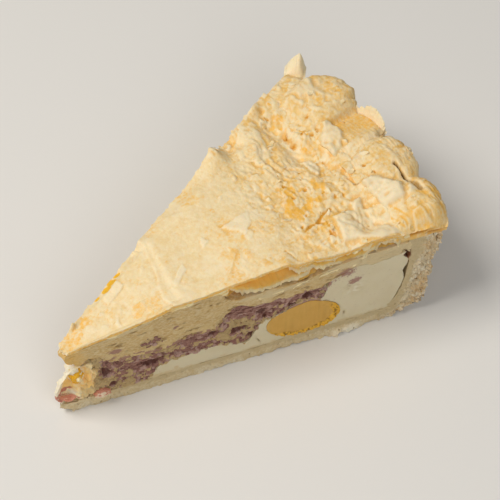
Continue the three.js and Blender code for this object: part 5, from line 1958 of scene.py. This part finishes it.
def flake_shape(seed: int, long: float, wide: float, curl: float) -> Object:
    """A thin curled flake of pastry with a torn outline, about the origin.

    Args:
        seed: which outline.
        long: its half length in mm.
        wide: its half width in mm.
        curl: how far its ends stand up in mm.

    Returns:
        The flake.
    """
    block = Block(np.linspace(-1, 1, 6), np.linspace(-1, 1, 5), np.array([0.0, 1.0]))
    u = block.r * np.sqrt(1 - 0.45 * block.t**2)
    v = block.t * np.sqrt(1 - 0.45 * block.r**2)
    wild = 1 + 0.4 * grain(pair(u, v), 0.7, seed, 2)
    x, y = u * wild * long, v * wild * wide
    z = curl * (u**2 + 0.4 * u) + 0.12 * grain(pair(u, v), 0.6, seed + 3)
    z += np.where(block.a > 0.5, FLAKE_THICKNESS, 0.0)
    pale = np.full(x.shape, 0.15 + 0.3 * (seed % 3))
    return build_mesh(f"flake_{seed}", np.stack([x, y, z], -1), block.quads, {"pale": pale})


def crumb_shape(seed: int, size: float) -> Object:
    """A lump of crumb about the origin, `size` mm across."""
    block, unit = ball(4, cut=False)
    wild = 1 + 0.5 * grain(unit, 0.8, seed, 2)
    pale = np.full(wild.shape, 0.3 * (seed % 3))
    return build_mesh(f"crumb_{seed}", unit * wild[:, None] * size / 2, block.quads, {"pale": pale})


# ---- Camera and light ---------------------------------------------------------------------------


@dataclass
class Studio:
    """A plain pale floor, a large soft lamp behind the slice's tip side and a camera above it."""

    target: tuple[float, float, float] = (12.18, 3.59, 20.0)
    azimuth: float = -37.51
    elevation: float = 52.71
    distance: float = 800.0
    lens: float = 167.87

    def toward(self, azimuth: float, elevation: float) -> Vector:
        """The direction from the slice to a place at these angles in degrees."""
        a, e = math.radians(azimuth), math.radians(elevation)
        return Vector((math.sin(a) * math.cos(e), -math.cos(a) * math.cos(e), math.sin(e)))

    def build(self) -> None:
        """Adds the floor, the lamps, the world and the camera."""
        scene = bpy.context.scene
        scene.view_settings.view_transform = "Standard"
        self._floor()
        self._lamp("key", azimuth=-118, elevation=58, size=640, watts=9.9, colour="#fffaf2")
        self._lamp("fill", azimuth=-22, elevation=44, size=700, watts=3.6, colour="#ffffff")
        world = bpy.data.worlds.new("studio")
        world.use_nodes = True
        back = world.node_tree.nodes["Background"]
        back.inputs["Color"].default_value = linear("#ffffff")
        back.inputs["Strength"].default_value = 0.2
        scene.world = world
        lens = bpy.data.cameras.new("camera")
        lens.lens = self.lens
        lens.sensor_width = 36.0
        camera = bpy.data.objects.new("camera", lens)
        scene.collection.objects.link(camera)
        toward = self.toward(self.azimuth, self.elevation)
        camera.location = (Vector(self.target) + toward * self.distance) * MM
        camera.rotation_euler = toward.to_track_quat("Z", "Y").to_euler()
        scene.camera = camera

    def _floor(self) -> None:
        """A wide pale floor under the slice."""
        mesh = bpy.data.meshes.new("floor")
        mesh.from_pydata([(-3, -3, 0), (3, -3, 0), (3, 3, 0), (-3, 3, 0)], [], [(0, 1, 2, 3)])
        floor = bpy.data.objects.new("floor", mesh)
        bpy.context.scene.collection.objects.link(floor)
        material = bpy.data.materials.new("matt_white_board")
        material.use_nodes = True
        shader = material.node_tree.nodes["Principled BSDF"]
        shader.inputs["Base Color"].default_value = linear("#e6e4e0")
        shader.inputs["Roughness"].default_value = 0.9
        mesh.materials.append(material)

    def _lamp(self, name: str, azimuth: float, elevation: float, size: float, watts: float,
              colour: str) -> None:
        """Adds a square lamp that looks at the slice from 1.2 m away, `size` mm wide."""
        data = bpy.data.lights.new(name, "AREA")
        data.size = size * MM
        data.energy = watts
        data.color = linear(colour)[:3]
        lamp = bpy.data.objects.new(name, data)
        bpy.context.scene.collection.objects.link(lamp)
        toward = self.toward(azimuth, elevation)
        lamp.location = (Vector(self.target) + toward * 1200) * MM
        lamp.rotation_euler = toward.to_track_quat("Z", "Y").to_euler()


# ---- The slice ----------------------------------------------------------------------------------


def measure(pieces: Sequence[Object]) -> tuple[list[float], list[float]]:
    """The box round the pieces, as its low and high corners in metres."""
    low, high = np.full(3, 1e9), np.full(3, -1e9)
    for piece in pieces:
        corners = np.empty(3 * len(piece.data.vertices), np.float32)
        piece.data.vertices.foreach_get("co", corners)
        corners = corners.reshape(-1, 3)
        low, high = np.minimum(low, corners.min(0)), np.maximum(high, corners.max(0))
    return [float(v) for v in low], [float(v) for v in high]


def main() -> None:
    """Builds the slice and the studio round it, and measures the box round the pieces."""
    logging.basicConfig(level=logging.INFO, format="%(name)s: %(message)s")
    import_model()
    case = PastryCase().build()
    pieces = [*case, *Filling().build(), *LidInside().build()]
    lid = LidSheet(LidRelief()).build()
    rim = LidRim().build()
    pieces += [lid, rim, FLAP.build(), RIM_LEAF.build(), *BrokenTip().build()]
    flakes = [flake_shape(k, 0.7 + 0.2 * (k % 3), 0.4 + 0.1 * (k % 4), 0.15) for k in range(1, 7)]
    pieces.append(LID_FLAKES.strew(lid, flakes))
    flakes = [flake_shape(k, 0.8 + 0.2 * (k % 3), 0.5 + 0.1 * (k % 4), 0.2) for k in range(7, 12)]
    pieces.append(RIM_FLAKES.strew(rim, flakes))
    crumbs = [crumb_shape(k, CRUMB_SIZE) for k in range(1, 7)]
    pieces.append(WALL_CRUMBS.strew(case[1], crumbs))
    Studio().build()
    low, high = measure(pieces)
    log.info("%d pieces", len(pieces))


if __name__ == "__main__":
    main()
